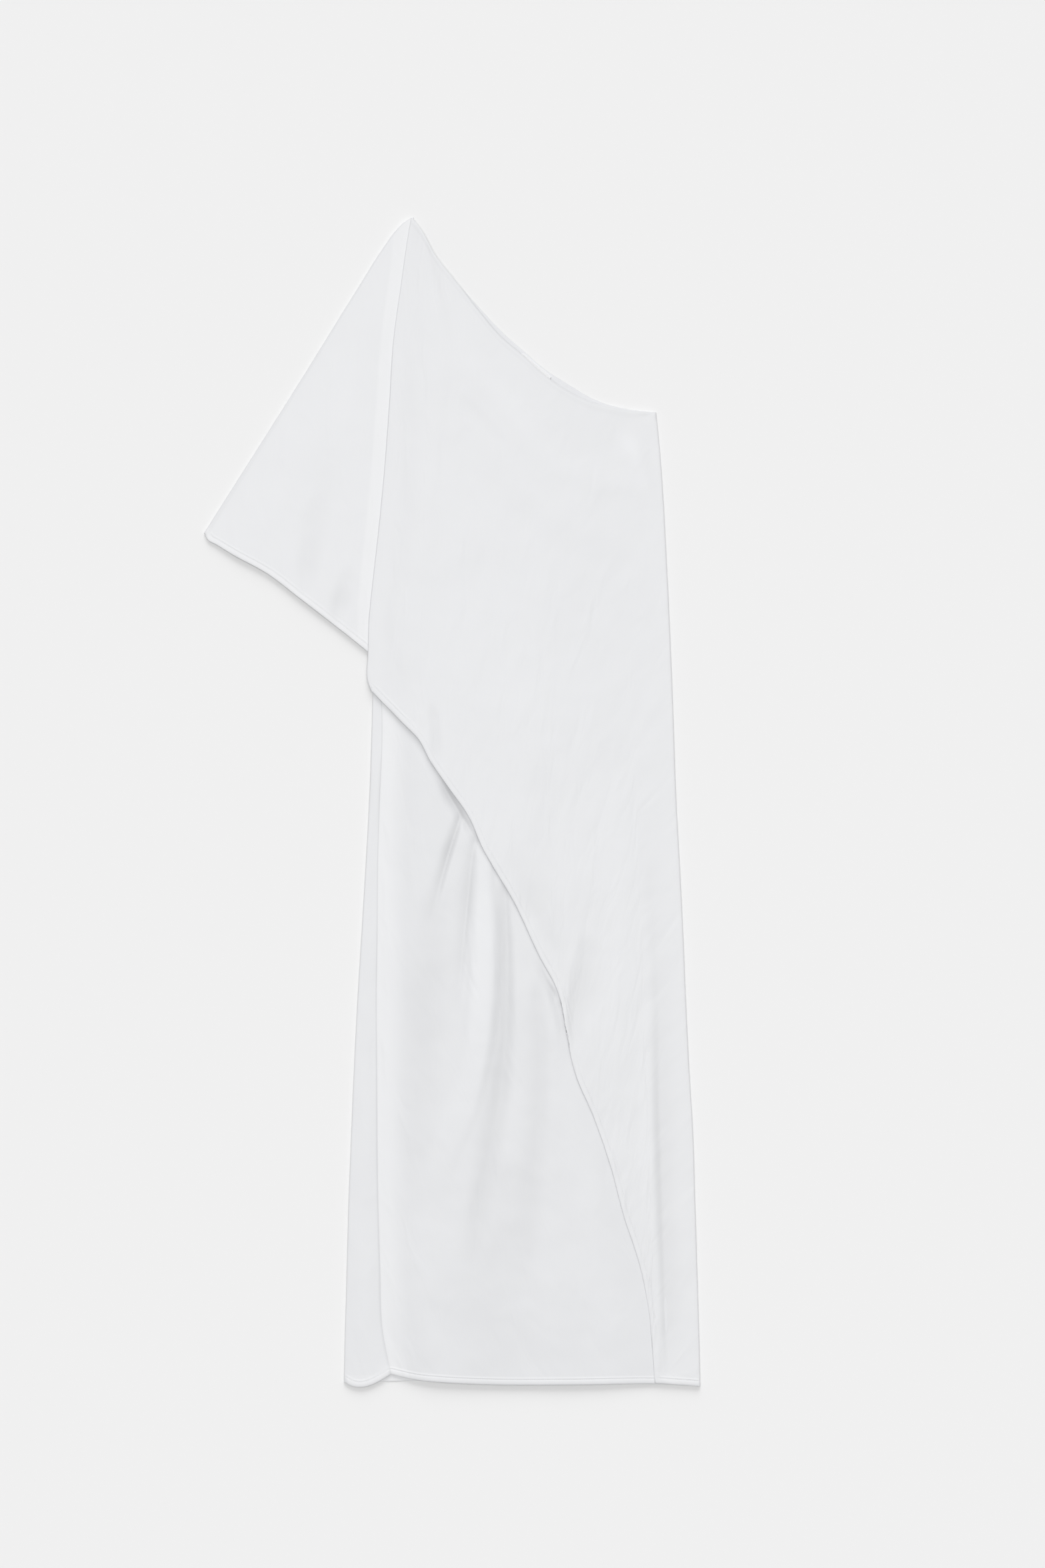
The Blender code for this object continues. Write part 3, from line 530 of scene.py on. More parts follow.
def relief(grid, folds):
    """Height of folds: across each, half a cosine of (distance / half width) ** its sharpness."""
    points = grid.reshape(-1, 2)
    height = np.zeros(len(points))
    share = even(FOLD_POINTS)
    for sharpness, rows in folds:
        line = along(line_of(rows, "x", "y"), share)
        heading = np.gradient(line, axis=0)
        step = np.linalg.norm(heading, axis=1)
        heading /= step[:, None]
        at_knots = travelled(np.column_stack([rows["x"], rows["y"]]))
        at_knots /= at_knots[-1]
        widest = max(rows["left"].max(), rows["right"].max())
        near = np.flatnonzero(((points > line.min(0) - widest) & (points < line.max(0) + widest)).all(axis=1))
        away = points[near, None] - line[None]
        nearest = (away**2).sum(-1).argmin(axis=1)
        away = away[np.arange(len(near)), nearest]
        ahead = (away * heading[nearest]).sum(1)
        side = heading[nearest, 0] * away[:, 1] - heading[nearest, 1] * away[:, 0]
        where = (nearest + ahead / step[nearest]) / (FOLD_POINTS - 1)
        inside = (where >= 0.0) & (where <= 1.0)
        left = np.interp(where, at_knots, rows["left"])
        right = np.interp(where, at_knots, rows["right"])
        distance = np.clip(np.abs(side) / np.where(side > 0, left, right), 0.0, 1.0)
        crest = 0.5 * (1.0 + np.cos(np.pi * distance**sharpness))
        smooth = np.interp(where, share, smooth_values(at_knots, rows["height"], share))
        height[near] += inside * crest * smooth
    return height.reshape(grid.shape[:-1])


def smooth_values(at, values, wanted):
    """Values eased from knot to knot."""
    index = np.clip(np.searchsorted(at, wanted, side="right") - 1, 0, len(at) - 2)
    share = ease(wanted, at[index], at[index + 1])
    return blend(values[index], values[index + 1], share)


def waves(grid, strength, shift):
    """Slow uneven waves: a sum of sines of the distance along turned directions, bent a little."""
    x, y = grid[..., 0] + shift, grid[..., 1] - WAVE_SKEW * shift
    total = np.zeros(x.shape)
    for length, turned, phase, height in zip(*WAVES.values()):
        angle = np.radians(turned)
        beside = x * np.sin(angle) - y * np.cos(angle)
        bend = WAVE_BEND * np.sin(2 * np.pi * beside / (WAVE_BEND_LENGTH * length))
        way = (x * np.cos(angle) + y * np.sin(angle) + bend) / length
        total += height * np.sin(2 * np.pi * way + phase + shift)
    return strength * total


def distance_to(line, grid):
    """Distance from each point of a grid to a line."""
    points = grid.reshape(-1, 1, 2)
    apart = np.hypot(points[..., 0] - line[None, :, 0], points[..., 1] - line[None, :, 1])
    return apart.min(axis=1).reshape(grid.shape[:-1])


def left_distance(points):
    """Distance of points to the right of the front's left seam."""
    return points[..., 0] - edge_at(LEFT_SIDE, "seam", points[..., 1])


def right_distance(points):
    """Distance of points to the left of the right side."""
    return edge_at(RIGHT_SIDE, "edge", points[..., 1]) - points[..., 0]


def left_seam_height(up):
    """Face of the cloth along the left seam: low at the armhole, higher beside the side roll."""
    low, high = ROLL_RISE
    return blend(SEAM_TOP, 2.0 * SIDE_ROLL, ease(-up, -low, -high))


def inner_share(grid):
    """1 in the middle of the body and 0 at its side edges."""
    return ease(left_distance(grid), 0.0, PUFF_REACH) * ease(right_distance(grid), 0.0, RIGHT_REACH)


def front_height(grid):
    """Face of the front without its folds: seams at the sides, one low soft rise between them."""
    from_left = left_distance(grid)
    across = np.clip(from_left / np.maximum(from_left + right_distance(grid), 1.0), 0.0, 1.0)
    seams = blend(left_seam_height(grid[..., 1]), SEAM_TOP, ease(across, 0.0, 0.5))
    return seams + FRONT_PUFF * inner_share(grid)


def sleeve_height(grid):
    """Face of the sleeve's front layer: low rise on the wing, then a climb on to the body."""
    rise = SLEEVE_PUFF * ease(distance_to(line_of(SLEEVE_EDGE), grid), 0.0, PUFF_REACH)
    at_body = grid.copy()
    at_body[..., 0] = np.maximum(grid[..., 0], edge_at(LEFT_SIDE, "seam", grid[..., 1]))
    on_body = front_height(at_body) + LAYER
    return blend(2.0 * SLEEVE_ROLL + rise, on_body, ease(left_distance(grid), *SLEEVE_CLIMB))


def pleat_floor(grid):
    """Outer face of the drape's turned-under cloth, which lies on the sleeve."""
    return sleeve_height(grid) + REST


def drape_height(grid):
    """Face of the drape: high over its left fold, then settled on the front with a little air."""
    y = grid[..., 1]
    from_fold = grid[..., 0] - edge_at(PLEAT, "across", y)
    over_fold = pleat_floor(grid) + 2.0 * PLEAT_ROLL
    settled = front_height(grid) + LAYER + DRAPE_LIFT * ease(right_distance(grid), 0.0, RIGHT_REACH)
    low = ease(-y, -PLEAT_FADE[0], -PLEAT_FADE[1])
    most = 1.2
    inward = np.clip(1.0 - from_fold / blend(*PLEAT_ROUNDED, low), 0.0, most)
    rounded = blend(*PLEAT_ROUNDING, low) * inward**2
    return blend(over_fold, settled, ease(from_fold, *PLEAT_SETTLE)) - rounded


def fold_round(start, low, high, radius, steps):
    """Points round a fold beside a column of points: half an ellipse from its lower to its upper layer."""
    away = outward(start, -1)
    turn = np.linspace(0.0, np.pi, steps + 1)[1:-1]
    reach = start[:, None, :] + away[:, None, :] * (radius * np.sin(turn))[None, :, None]
    lift = low[:, None] + 0.5 * (high - low)[:, None] * (1.0 - np.cos(turn))[None, :]
    return np.concatenate([reach, lift[..., None]], axis=2)


def with_height(grid, height):
    return np.concatenate([grid, height[..., None]], axis=2)


def grid_faces(grid, turned, keep):
    """Four-cornered faces of a grid, turned over if its outer side is; keep says which cells exist."""
    index = np.arange(grid[..., 0].size).reshape(grid.shape[:2])
    faces = np.stack([index[:-1, :-1], index[1:, :-1], index[1:, 1:], index[:-1, 1:]], axis=-1)
    faces = faces.reshape(-1, 4) if keep is None else faces[keep]
    return faces[:, ::-1] if turned else faces


def outer_normals(points, faces):
    """Unit normal at each point: the sum of the normals of the faces round it."""
    corners = points[faces]
    normals = np.cross(corners[:, 2] - corners[:, 0], corners[:, 3] - corners[:, 1])
    total = np.zeros_like(points)
    for corner in range(4):
        np.add.at(total, faces[:, corner], normals)
    return unit(total)


def open_edges(faces, count):
    """Edges that only one face uses, in that face's direction."""
    edges = np.concatenate([faces[:, [k, (k + 1) % 4]] for k in range(4)])
    forward = edges[:, 0] * count + edges[:, 1]
    backward = edges[:, 1] * count + edges[:, 0]
    return edges[~np.isin(backward, forward)]


def arc_lengths(grid):
    """A cloth's own coordinates in metres: distance along each row, and distance along each column."""
    over = np.linalg.norm(np.diff(grid, axis=1), axis=2)
    down = np.linalg.norm(np.diff(grid, axis=0), axis=2)
    u = np.concatenate([np.zeros((len(grid), 1)), np.cumsum(over, axis=1)], axis=1)
    v = np.concatenate([np.zeros((1, grid.shape[1])), np.cumsum(down, axis=0)], axis=0)
    return np.stack([u, v], axis=-1) * MM


def fold_shade_of(folds):
    """Painted shade and highlight of folds: from -1 in a deep valley to two thirds on a high ridge."""
    share = np.clip(folds / FOLD_SHADE_HEIGHT, -1.0, 1.0)
    return np.where(share > 0, share / 1.5, share)


def shell(name, grid, material, doubled_and_painted_light=None, folds=None, turned=False, keep=None):
    """A closed wall of cloth: the outer face, the same face moved in, and a rim rounded as half an ellipse.

    The first mask is 1 where a second layer of cloth backs the first, and is also set on some turned edges as
    painted highlight and painted shade; folds is the height of its folds, with painted shade and highlight
    set on some edges. Both go into the mesh as attributes, the second as crest, the mask of painted shade and
    highlight.
    """
    faces = grid_faces(grid, turned, keep)
    used = np.unique(faces)
    faces = np.searchsorted(used, faces)
    points = grid.reshape(-1, 3)[used]
    cloth = arc_lengths(grid).reshape(-1, 2)[used]
    blank = np.zeros(grid.shape[:2])
    marks = {"doubled_and_painted_light": blank if doubled_and_painted_light is None else doubled_and_painted_light}
    # crest: painted shade in valleys and painted highlight on crests, from the height of the folds
    marks["crest"] = fold_shade_of(blank if folds is None else folds)
    normals = outer_normals(points, faces)
    count = len(points)
    rim = open_edges(faces, count)
    away = unit(np.cross(points[rim[:, 1]] - points[rim[:, 0]], normals[rim[:, 0]]))
    out = np.zeros_like(points)
    for end in range(2):
        np.add.at(out, rim[:, end], away)
    at_rim = np.unique(rim)
    out = unit(out[at_rim])
    half = normals[at_rim] * CLOTH * 0.5
    rings = [points[at_rim] + out * RIM * np.sin(turn) - half * (1 - np.cos(turn)) for turn in RIM_TURNS]
    spot = np.searchsorted(at_rim, rim)
    ring_at = [rim] + [2 * count + k * len(at_rim) + spot for k in range(3)] + [rim + count]
    sides = [np.column_stack([a[:, 1], a[:, 0], b[:, 0], b[:, 1]]) for a, b in zip(ring_at[:-1], ring_at[1:])]
    vertices = np.concatenate([points, points - normals * CLOTH, *rings])
    vertices[:, 2] = np.maximum(vertices[:, 2], 0.0)
    shape = np.concatenate([faces, faces[:, ::-1] + count, *sides])
    piece = mesh_piece(name, vertices, shape, material)
    cloth = np.concatenate([cloth, cloth] + [cloth[at_rim]] * 3)
    uv = piece.data.uv_layers.new(name="cloth")
    uv.data.foreach_set("uv", cloth[shape.reshape(-1)].astype(np.float32).reshape(-1))
    for mark, values in marks.items():
        values = values.reshape(-1)[used]
        values = np.concatenate([values, values] + [values[at_rim]] * 3)
        attribute = piece.data.attributes.new(mark, "FLOAT", "POINT")
        attribute.data.foreach_set("value", values.astype(np.float32))
    return piece


def mesh_piece(name, vertices, faces, material):
    """A smooth mesh object at the origin, from points in millimetres."""
    mesh = bpy.data.meshes.new(name)
    mesh.from_pydata((vertices * MM).tolist(), [], faces.tolist())
    mesh.materials.append(material)
    mesh.shade_smooth()
    piece = bpy.data.objects.new(name, mesh)
    bpy.context.scene.collection.objects.link(piece)
    return piece


def stitches(name, line, length, space, width, material):
    """A row of stitches along a line in space: short tubes of SIDES rings and sides, widest midway."""
    reached = travelled(line)
    number = int(reached[-1] // (length + space))
    share = even(SIDES)
    starts = np.arange(number) * (length + space) + 0.5 * space
    spots = starts[:, None] + share[None, :] * length
    centre = at_share(line, reached, spots)
    heading = unit(centre[:, -1] - centre[:, 0])
    up = np.array([0.0, 0.0, 1.0]) - heading * heading[:, 2:3]
    side = np.cross(heading, up)
    swell = np.sin(np.pi * blend(*STITCH_SWELL, share))
    arch = width * (0.5 * np.sin(np.pi * share) - STITCH_DEPTH)
    centre = centre + up[:, None] * arch[None, :, None]
    turn = 2.0 * np.pi * even(SIDES + 1)[:-1]
    ring = side[:, None, :] * np.cos(turn)[None, :, None] + up[:, None, :] * np.sin(turn)[None, :, None]
    tube = centre[:, :, None] + ring[:, None] * (0.5 * width * swell)[None, :, None, None]
    points = SIDES * SIDES
    one = np.arange(points).reshape(SIDES, SIDES)
    around = np.roll(one, -1, axis=1)
    sides = np.stack([one[:-1], around[:-1], around[1:], one[1:]], axis=-1).reshape(-1, 4)
    first = np.array([[0, 5, 4, 3], [0, 3, 2, 1]])
    last = points - SIDES + np.array([[0, 1, 2, 3], [0, 3, 4, 5]])
    one = np.concatenate([sides, first, last])
    faces = (one[None] + points * np.arange(number)[:, None, None]).reshape(-1, 4)
    return mesh_piece(name, tube.reshape(-1, 3), faces, material)


def neck_line(drop):
    return smooth_line(NECK["across"], NECK["up"] - drop * NECK["drop"])


def right_line():
    return line_of(RIGHT_SIDE, "edge")


def back_left_line():
    """Left edge of the back's floor layer: the armhole, then the line where the side roll begins."""
    line = line_of(LEFT_SIDE, "edge", shift=SIDE_ROLL)
    top = np.array([NECK["across"][0], NECK["up"][0]])
    bottom = np.array([BOTTOM["across"][0], BOTTOM["back"][0]])
    return joined(top, line, bottom)


def close_at_ends(count, left, right, first):
    """Shares from 0 to 1, closer together beside each end over a given share, with a first step of first."""
    power, at_left, at_right = 1.6, 8, 6
    start = left * (even(at_left)[:-1] ** power)
    end = 1.0 - right * (even(at_right)[:-1][::-1] ** power)
    return np.concatenate([[0.0], np.maximum(start[1:], first), np.linspace(left, 1.0 - right, count), end])


def moved_in(grid, from_side, inset):
    """The grid with its right side moved in by inset, fading inwards over SIDE_REACH."""
    moved = grid.copy()
    moved[..., 0] -= inset * fading(from_side, 0.0, SIDE_REACH)
    return moved


def seam_band(distance, depth):
    """1 where a seam allowance of that depth backs the cloth, fading over its edge."""
    before, after = 2.0, 3.0
    return fading(distance, depth - before, depth + after)


def make_back(material):
    """Back panel flat on the floor; below the underarm it rolls round the left side to the front."""
    top = neck_line(0.0)
    bottom = line_of(BOTTOM, up="back")
    left = back_left_line()
    right = joined(top[-1], right_line(), bottom[-1])
    columns = close_at_ends(BACK_COLUMNS, *BACK_ENDS)
    floor, main_rows = hemmed_patch(top, bottom, left, right, columns, even(BACK_ROWS), EDGE_ROWS)
    from_right = right_distance(floor)
    floor = moved_in(floor, from_right, 2.0 * RIM)
    y = floor[..., 1]
    from_left = floor[..., 0] - across_at(left, y)
    inside = ease(from_left, *CALM["back side"]) * ease(from_right, *CALM["back side"])
    mean, most = 0.5, 1.7
    lift = inside * np.clip(relief(floor, BACK_FOLDS) + mean + waves(floor, *WAVES_OF["back"]), 0.0, most)
    flat = with_height(floor, lift * ease(y, *CALM["back hem"]))
    start = floor[:, 0]
    height = start[:, 1]
    upper = left_seam_height(height)
    roll = fold_round(start, np.zeros(len(start)), upper, SIDE_ROLL, ROLL_STEPS)
    seam = np.column_stack([edge_at(LEFT_SIDE, "seam", height) - SEAM_GAP * 0.5, height])
    share = even(STRIP_COLUMNS)[None, :]
    strip = start[:, None] * (1 - share[..., None]) + seam[:, None] * share[..., None]
    at_hem = ease(-height, -height[-1] - STRIP_HEM_REACH, -height[-1])[:, None]
    strip[..., 1] -= at_hem * (STRIP_BULGE * np.sin(np.pi * share**STRIP_LEAN) - STRIP_RISE * share)
    crown = STRIP_CROWN * np.sin(np.pi * share) * np.clip((seam - start)[:, :1] / FULL_STRIP, 0.0, 1.0)
    ripple = waves(strip, *WAVES_OF["strip"]) * np.sin(np.pi * share)
    to_seam = (seam - start)[:, :1] * (1 - share)
    rounded = SEAM_DROP * fading(to_seam, *SEAM_ROUND)
    wrapped = with_height(strip, upper[:, None] + crown + ripple - rounded)
    from_hem = hem_distance(wrapped[..., :2], main_rows)
    wrapped[..., 2] += hem_shape(from_hem)
    grid = np.concatenate([wrapped[:, ::-1], roll[:, ::-1], flat], axis=1)
    folded = wrapped.shape[1] + roll.shape[1]
    keep = np.ones((len(start) - 1, grid.shape[1] - 1), bool)
    keep[height[:-1] > UNDERARM, :folded] = False
    doubled_and_painted_light = hem_band(hem_distance(grid[..., :2], main_rows))
    doubled_and_painted_light[:, folded:] = np.maximum(doubled_and_painted_light[:, folded:], seam_band(from_right, SIDE_ALLOWANCE))
    doubled_and_painted_light[:, :folded] = blend(STRIP_BACKED, STRIP_HEM_BACKED, doubled_and_painted_light[:, :folded])
    # The side roll is lightened like a full second layer: a painted highlight on its curve
    doubled_and_painted_light[:, wrapped.shape[1]:folded] = 1.0
    piece = shell("back_cloth", grid, material, doubled_and_painted_light, turned=True, keep=keep)
    under = stitch_line(flat, hem_distance(floor, main_rows)) + STITCH_SINK
    return piece, stitch_line(wrapped, from_hem), under


def make_front(material):
    """Front under layer from neck to hem, with its folds."""
    top = neck_line(1.0)
    shows = BOTTOM["across"] >= LEFT_SIDE["seam"][-1]
    bottom = smooth_line(BOTTOM["across"][shows], BOTTOM["front"][shows])
    left = joined(top[0], line_of(LEFT_SIDE, "seam"), bottom[0])
    right = joined(top[-1], right_line(), bottom[-1])
    grid, main_rows = hemmed_patch(top, bottom, left, right, FRONT_COLUMNS, FRONT_ROWS, EDGE_ROWS)
    grid = moved_in(grid, right_distance(grid), SIDE_INSET)
    from_left = grid[..., 0] - across_at(left, grid[..., 1])
    from_hem = hem_distance(grid, main_rows)
    folds = relief(grid, FRONT_FOLDS)
    height = front_height(grid) + folds + waves(grid, *WAVES_OF["front"]) * inner_share(grid)
    height += hem_shape(from_hem) - SEAM_DROP * fading(from_left, *SEAM_ROUND)
    surface = with_height(grid, height)
    doubled_and_painted_light = np.maximum(FRONT_HEM_BACKED * hem_band(from_hem), fading(from_left, *SEAM_BACKED))
    piece = shell("front_cloth", surface, material, doubled_and_painted_light, folds)
    return piece, stitch_line(surface, from_hem)


def make_drape(material):
    """Front over layer: turned under at its left fold, ending in the diagonal hem."""
    top = neck_line(1.0)
    hem = line_of(DRAPE_HEM)
    left = joined(top[0], line_of(PLEAT, shift=PLEAT_ROLL), hem[0])
    right = joined(top[-1], right_line(), np.array(DRAPE_CORNER))
    slanted = np.linspace(0.0, CORNER_SHARE, DRAPE_COLUMNS)
    level = np.linspace(CORNER_SHARE, 1.0, CORNER_COLUMNS)[1:]
    columns = np.concatenate([slanted, level])
    past_corner = (level - CORNER_SHARE) / (1 - CORNER_SHARE)
    bottom = np.concatenate([
        along(hem, spread(slanted / CORNER_SHARE, hem)),
        blend(hem[-1], right[-1], past_corner[:, None]),
    ])
    bottom = at_share(bottom, columns, even(4 * LINE_POINTS))
    grid, main_rows = hemmed_patch(top, bottom, left, right, columns, even(DRAPE_ROWS), EDGE_ROWS)
    from_right = right_distance(grid)
    grid = moved_in(grid, from_right, SIDE_WRAP)
    y = grid[..., 1]
    from_fold = grid[..., 0] - edge_at(PLEAT, "across", y)
    from_hem = hem_distance(grid, main_rows)
    calm = ease(from_right, *CALM["drape side"]) * ease(from_fold, *CALM["drape fold"])
    folds = relief(grid, DRAPE_FOLDS)
    height = drape_height(grid) + folds + waves(grid, *WAVES_OF["drape"]) * calm + hem_shape(from_hem)
    to_hem = distance_to(along(hem, even(LINE_POINTS // 2)), grid)
    height -= DRAPE_SAG * fading(to_hem, *SAG_REACH) * ease(-y, -SAG_START[0], -SAG_START[1])
    height[:len(EDGE_ROWS)] += edge_shape(EDGE_ROWS)[:, None]
    surface = with_height(grid, height)
    turn = 0.5 * np.pi * even(PLEAT_COLUMNS)[None, 1:]
    side = np.repeat(surface[:, -1:], turn.size, axis=1)
    side[..., 0] += SIDE_WRAP * np.sin(turn)
    side[..., 2] = SIDE_WRAP_END + (height[:, -1:] - SIDE_WRAP_END) * np.cos(turn)
    start = grid[:, 0]
    depth = np.interp(-start[:, 1], -PLEAT["up"], PLEAT["depth"])
    share = even(PLEAT_COLUMNS)[None, :]
    under = np.repeat(start[:, None], share.size, axis=1)
    under[..., 0] += share * (depth - PLEAT_ROLL)[:, None]
    slant = PLEAT_SLANT * ease(-start[:, 1], -start[-1, 1] - PLEAT_HEM_REACH, -start[-1, 1])[:, None]
    under[..., 1] += share * depth[:, None] * slant
    low = pleat_floor(under)
    roll = fold_round(start, low[:, 0], height[:, 0], PLEAT_ROLL, TURN_STEPS)
    whole = np.concatenate([with_height(under, low)[:, ::-1], roll, surface, side], axis=1)
    first = under.shape[1] + roll.shape[1]
    last = first + grid.shape[1]
    doubled_and_painted_light = np.zeros(whole.shape[:2])
    doubled_and_painted_light[:, first:last] = DRAPE_BACKED + (1.0 - DRAPE_BACKED) * DRAPE_HEM_BACKED * hem_band(from_hem)
    # The turned-down right edge is lightened like a full second layer: a painted highlight on its steep side
    doubled_and_painted_light[:, last:] = 1.0
    # Painted shade: the neck edge is lightened less than the rest of the drape
    doubled_and_painted_light[:len(EDGE_ROWS)] = DRAPE_NECK_SHADED_BACKING
    # Mask of painted shade in valleys and painted highlight on crests, with some edges set apart
    crest = np.zeros(whole.shape[:2])
    crest[:, first:last] = folds
    # It also takes the full crest mask: more painted highlight on the turned-down edge
    crest[:, last:] = FOLD_SHADE_HEIGHT
    # Painted shade along the neck edge, fading away from it
    crest[:len(EDGE_ROWS), first:last] = NECK_PAINTED_SHADE * FOLD_SHADE_HEIGHT * fading(EDGE_ROWS, *NECK_FADE)[:, None]
    piece = shell("drape_cloth", whole, material, doubled_and_painted_light, crest)
    return piece, stitch_line(surface, from_hem)


def make_sleeve(material):
    """Wide sleeve folded along its upper edge: a front layer, the fold, and a back layer on the floor."""
    edge = line_of(SLEEVE_EDGE)
    left = edge - SLEEVE_ROLL * outward(edge, -1)
    hem = line_of(SLEEVE_HEM)
    hem = joined(left[-1], hem, hem[-1])
    inner = line_of(PLEAT, shift=PLEAT["depth"])
    inner = joined(inner[0], inner, hem[-1])
    columns, down = even(SLEEVE_COLUMNS), even(SLEEVE_ROWS)
    front, main_rows = hemmed_patch(straight(left, inner), hem, left, inner, columns, down, EDGE_ROWS[:3])
    from_seam = left_distance(front)
    calm = ease(distance_to(edge, front), *CALM["sleeve edge"]) * ease(-from_seam, *CALM["sleeve seam"])
    from_hem = hem_distance(front, main_rows)
    folds = relief(front, SLEEVE_FOLDS) * calm
    height = sleeve_height(front) + folds + waves(front, *WAVES_OF["sleeve"]) * calm
    height += hem_shape(from_hem) * ease(-from_seam, *CALM["sleeve hem"])
    armhole = back_left_line() - np.array([SEAM_GAP, 0.0])
    outside = hem[:, 0] < across_at(armhole, hem[:, 1])
    back_hem = part_of(hem, 0.0, outside.mean())
    above = armhole[armhole[:, 1] > back_hem[-1, 1]]
    armhole = joined(above[0], part_of(above, 0.0, 1.0), back_hem[-1])
    top, columns = straight(left, armhole), even(LOWER_COLUMNS)
    lower = hemmed_patch(top, back_hem, left, armhole, columns, down, EDGE_ROWS[:3])[0]
    lower[:, 0] = front[:, 0]
    roll = fold_round(front[:, 0], np.zeros(len(front)), height[:, 0], SLEEVE_ROLL, TURN_STEPS)
    inside = 1.0
    for line, calm_name in ((edge, "lower edge"), (armhole, "lower armhole"), (hem, "lower hem")):
        inside = inside * ease(distance_to(line, lower), *CALM[calm_name])
    mean, most = 0.35, 1.2
    floor = with_height(lower, inside * np.clip(mean + waves(lower, *WAVES_OF["sleeve back"]), 0.0, most))
    whole = np.concatenate([with_height(front, height)[:, ::-1], roll[:, ::-1], floor], axis=1)
    columns = front.shape[1]
    lower_hem = hem_distance(lower, main_rows)
    doubled_and_painted_light = np.zeros(whole.shape[:2])
    band = np.maximum(hem_band(from_hem), seam_band(-from_seam, ARMHOLE_ALLOWANCE))
    doubled_and_painted_light[:, :columns] = SLEEVE_BACKED + (1.0 - SLEEVE_BACKED) * band[:, ::-1]
    doubled_and_painted_light[:, columns:] = SLEEVE_BACKED
    doubled_and_painted_light[:, -lower.shape[1]:] += (1.0 - SLEEVE_BACKED) * hem_band(lower_hem)
    # Mask of painted shade in valleys and painted highlight on crests, with the folded edge set apart
    crest = np.zeros(whole.shape[:2])
    crest[:, :columns] = folds[:, ::-1]
    # Painted shade along the sleeve's folded upper edge and the last columns beside it
    crest[:, columns - 2:columns + roll.shape[1]] = SLEEVE_EDGE_PAINTED_SHADE * FOLD_SHADE_HEIGHT
    piece = shell("sleeve_cloth", whole, material, doubled_and_painted_light, crest, turned=True)
    line = stitch_line(with_height(front, height), from_hem)
    return piece, line[left_distance(line) < -STITCHES_END], stitch_line(floor, lower_hem) + STITCH_SINK


def make_label(material):
    """Small bare woven label: two selvedges, turned ends and a faintly crowned middle."""
    neck = neck_line(0.0)
    middle = np.abs(neck[:, 0] - LABEL_MIDDLE).argmin()
    heading = neck[middle + 1] - neck[middle - 1]
    heading /= np.hypot(*heading)
    inward = np.array([heading[1], -heading[0]])
    u = even(LABEL_COLUMNS) - 0.5
    v = even(LABEL_ROWS)
    grid = neck[middle] + u[None, :, None] * LABEL_WIDTH * heading
    grid = grid + (LABEL_INSET + v * LABEL_HEIGHT)[:, None, None] * inward
    selvedge = sum(np.exp(-((from_edge / LABEL_SELVEDGE_WIDTH) ** 2)) for from_edge in (v, 1 - v))
    selvedge = LABEL_SELVEDGE * selvedge
    ends = LABEL_TURNING * fading(0.5 - np.abs(u), *LABEL_TURNING_AT)
    crown = LABEL_CROWN * np.cos(np.pi * u)[None, :] * np.sin(np.pi * v)[:, None]
    height = BACK_TOP + GAP + CLOTH + crown + selvedge[:, None] + ends[None, :]
    surface = with_height(grid, height)
    piece = shell("label_cloth", surface, material)
    left_end, right_end = 4, -5
    return piece, surface[2:-2, left_end], surface[2:-2, right_end]


# Materials

SATIN_COLOUR = (0.693, 0.699, 0.714)
DOUBLED_COLOUR = (0.742, 0.747, 0.759)  # the satin with a full second layer behind it, also used as painted highlight on some turned edges
PAINTED_FOLD_SHADE = 0.105  # painted highlight and shade of folds: how much lighter the colour is made on a crest, and darker in a valley
SATIN_ROUGHNESS = 0.40
THREAD_COLOUR = (0.80, 0.81, 0.82)
LABEL_COLOURS = (0.80, 0.80, 0.81), (0.90, 0.90, 0.90)  # between the label's threads, and on them
FLOOR_COLOUR = (0.838, 0.838, 0.838)


def group_with(name, inputs, outputs):
    """An empty shader node group with the named sockets; inputs give each socket's type and value."""
    group = bpy.data.node_groups.new(name, "ShaderNodeTree")
    for label, kind, value in inputs:
        socket = group.interface.new_socket(label, in_out="INPUT", socket_type=kind)
        if value is not None:
            socket.default_value = value
    for label, kind in outputs:
        group.interface.new_socket(label, in_out="OUTPUT", socket_type=kind)
    return group, group.nodes.new("NodeGroupInput"), group.nodes.new("NodeGroupOutput")


def set_inputs(made, values):
    """Sets a node's inputs by name, or by number, with underscores for the spaces of a name."""
    for key, value in values.items():
        made.inputs[key.replace("_", " ") if isinstance(key, str) else key].default_value = value


def node(tree, kind, settings=(), numbered=(), **values):
    """A new node: settings are its own properties, numbered and values its inputs by number and by name."""
    made = tree.nodes.new("ShaderNode" + kind)
    for key, value in dict(settings).items():
        setattr(made, key, value)
    set_inputs(made, {**dict(numbered), **values})
    return made


def mixed(tree, **values):
    """A node that mixes the colours A and B by its Factor."""
    return node(tree, "Mix", {"data_type": "RGBA"}, **values)


def wire(tree, *rows):
    """Links: each row is a node and one of its outputs, then a node and one of its inputs."""
    for source, output, target, entry in rows:
        tree.links.new(source.outputs[output], target.inputs[entry])


def principled(name, **values):
    """A new material with its node tree and its shader, whose inputs take the values."""
    material = bpy.data.materials.new(name)
    material.use_nodes = True
    shader = material.node_tree.nodes["Principled BSDF"]
    set_inputs(shader, values)
    return material, material.node_tree, shader


def opaque(colour, factor=1.0):
    """A colour times a factor, with full alpha."""
    return (*(min(1.0, factor * value) for value in colour), 1.0)


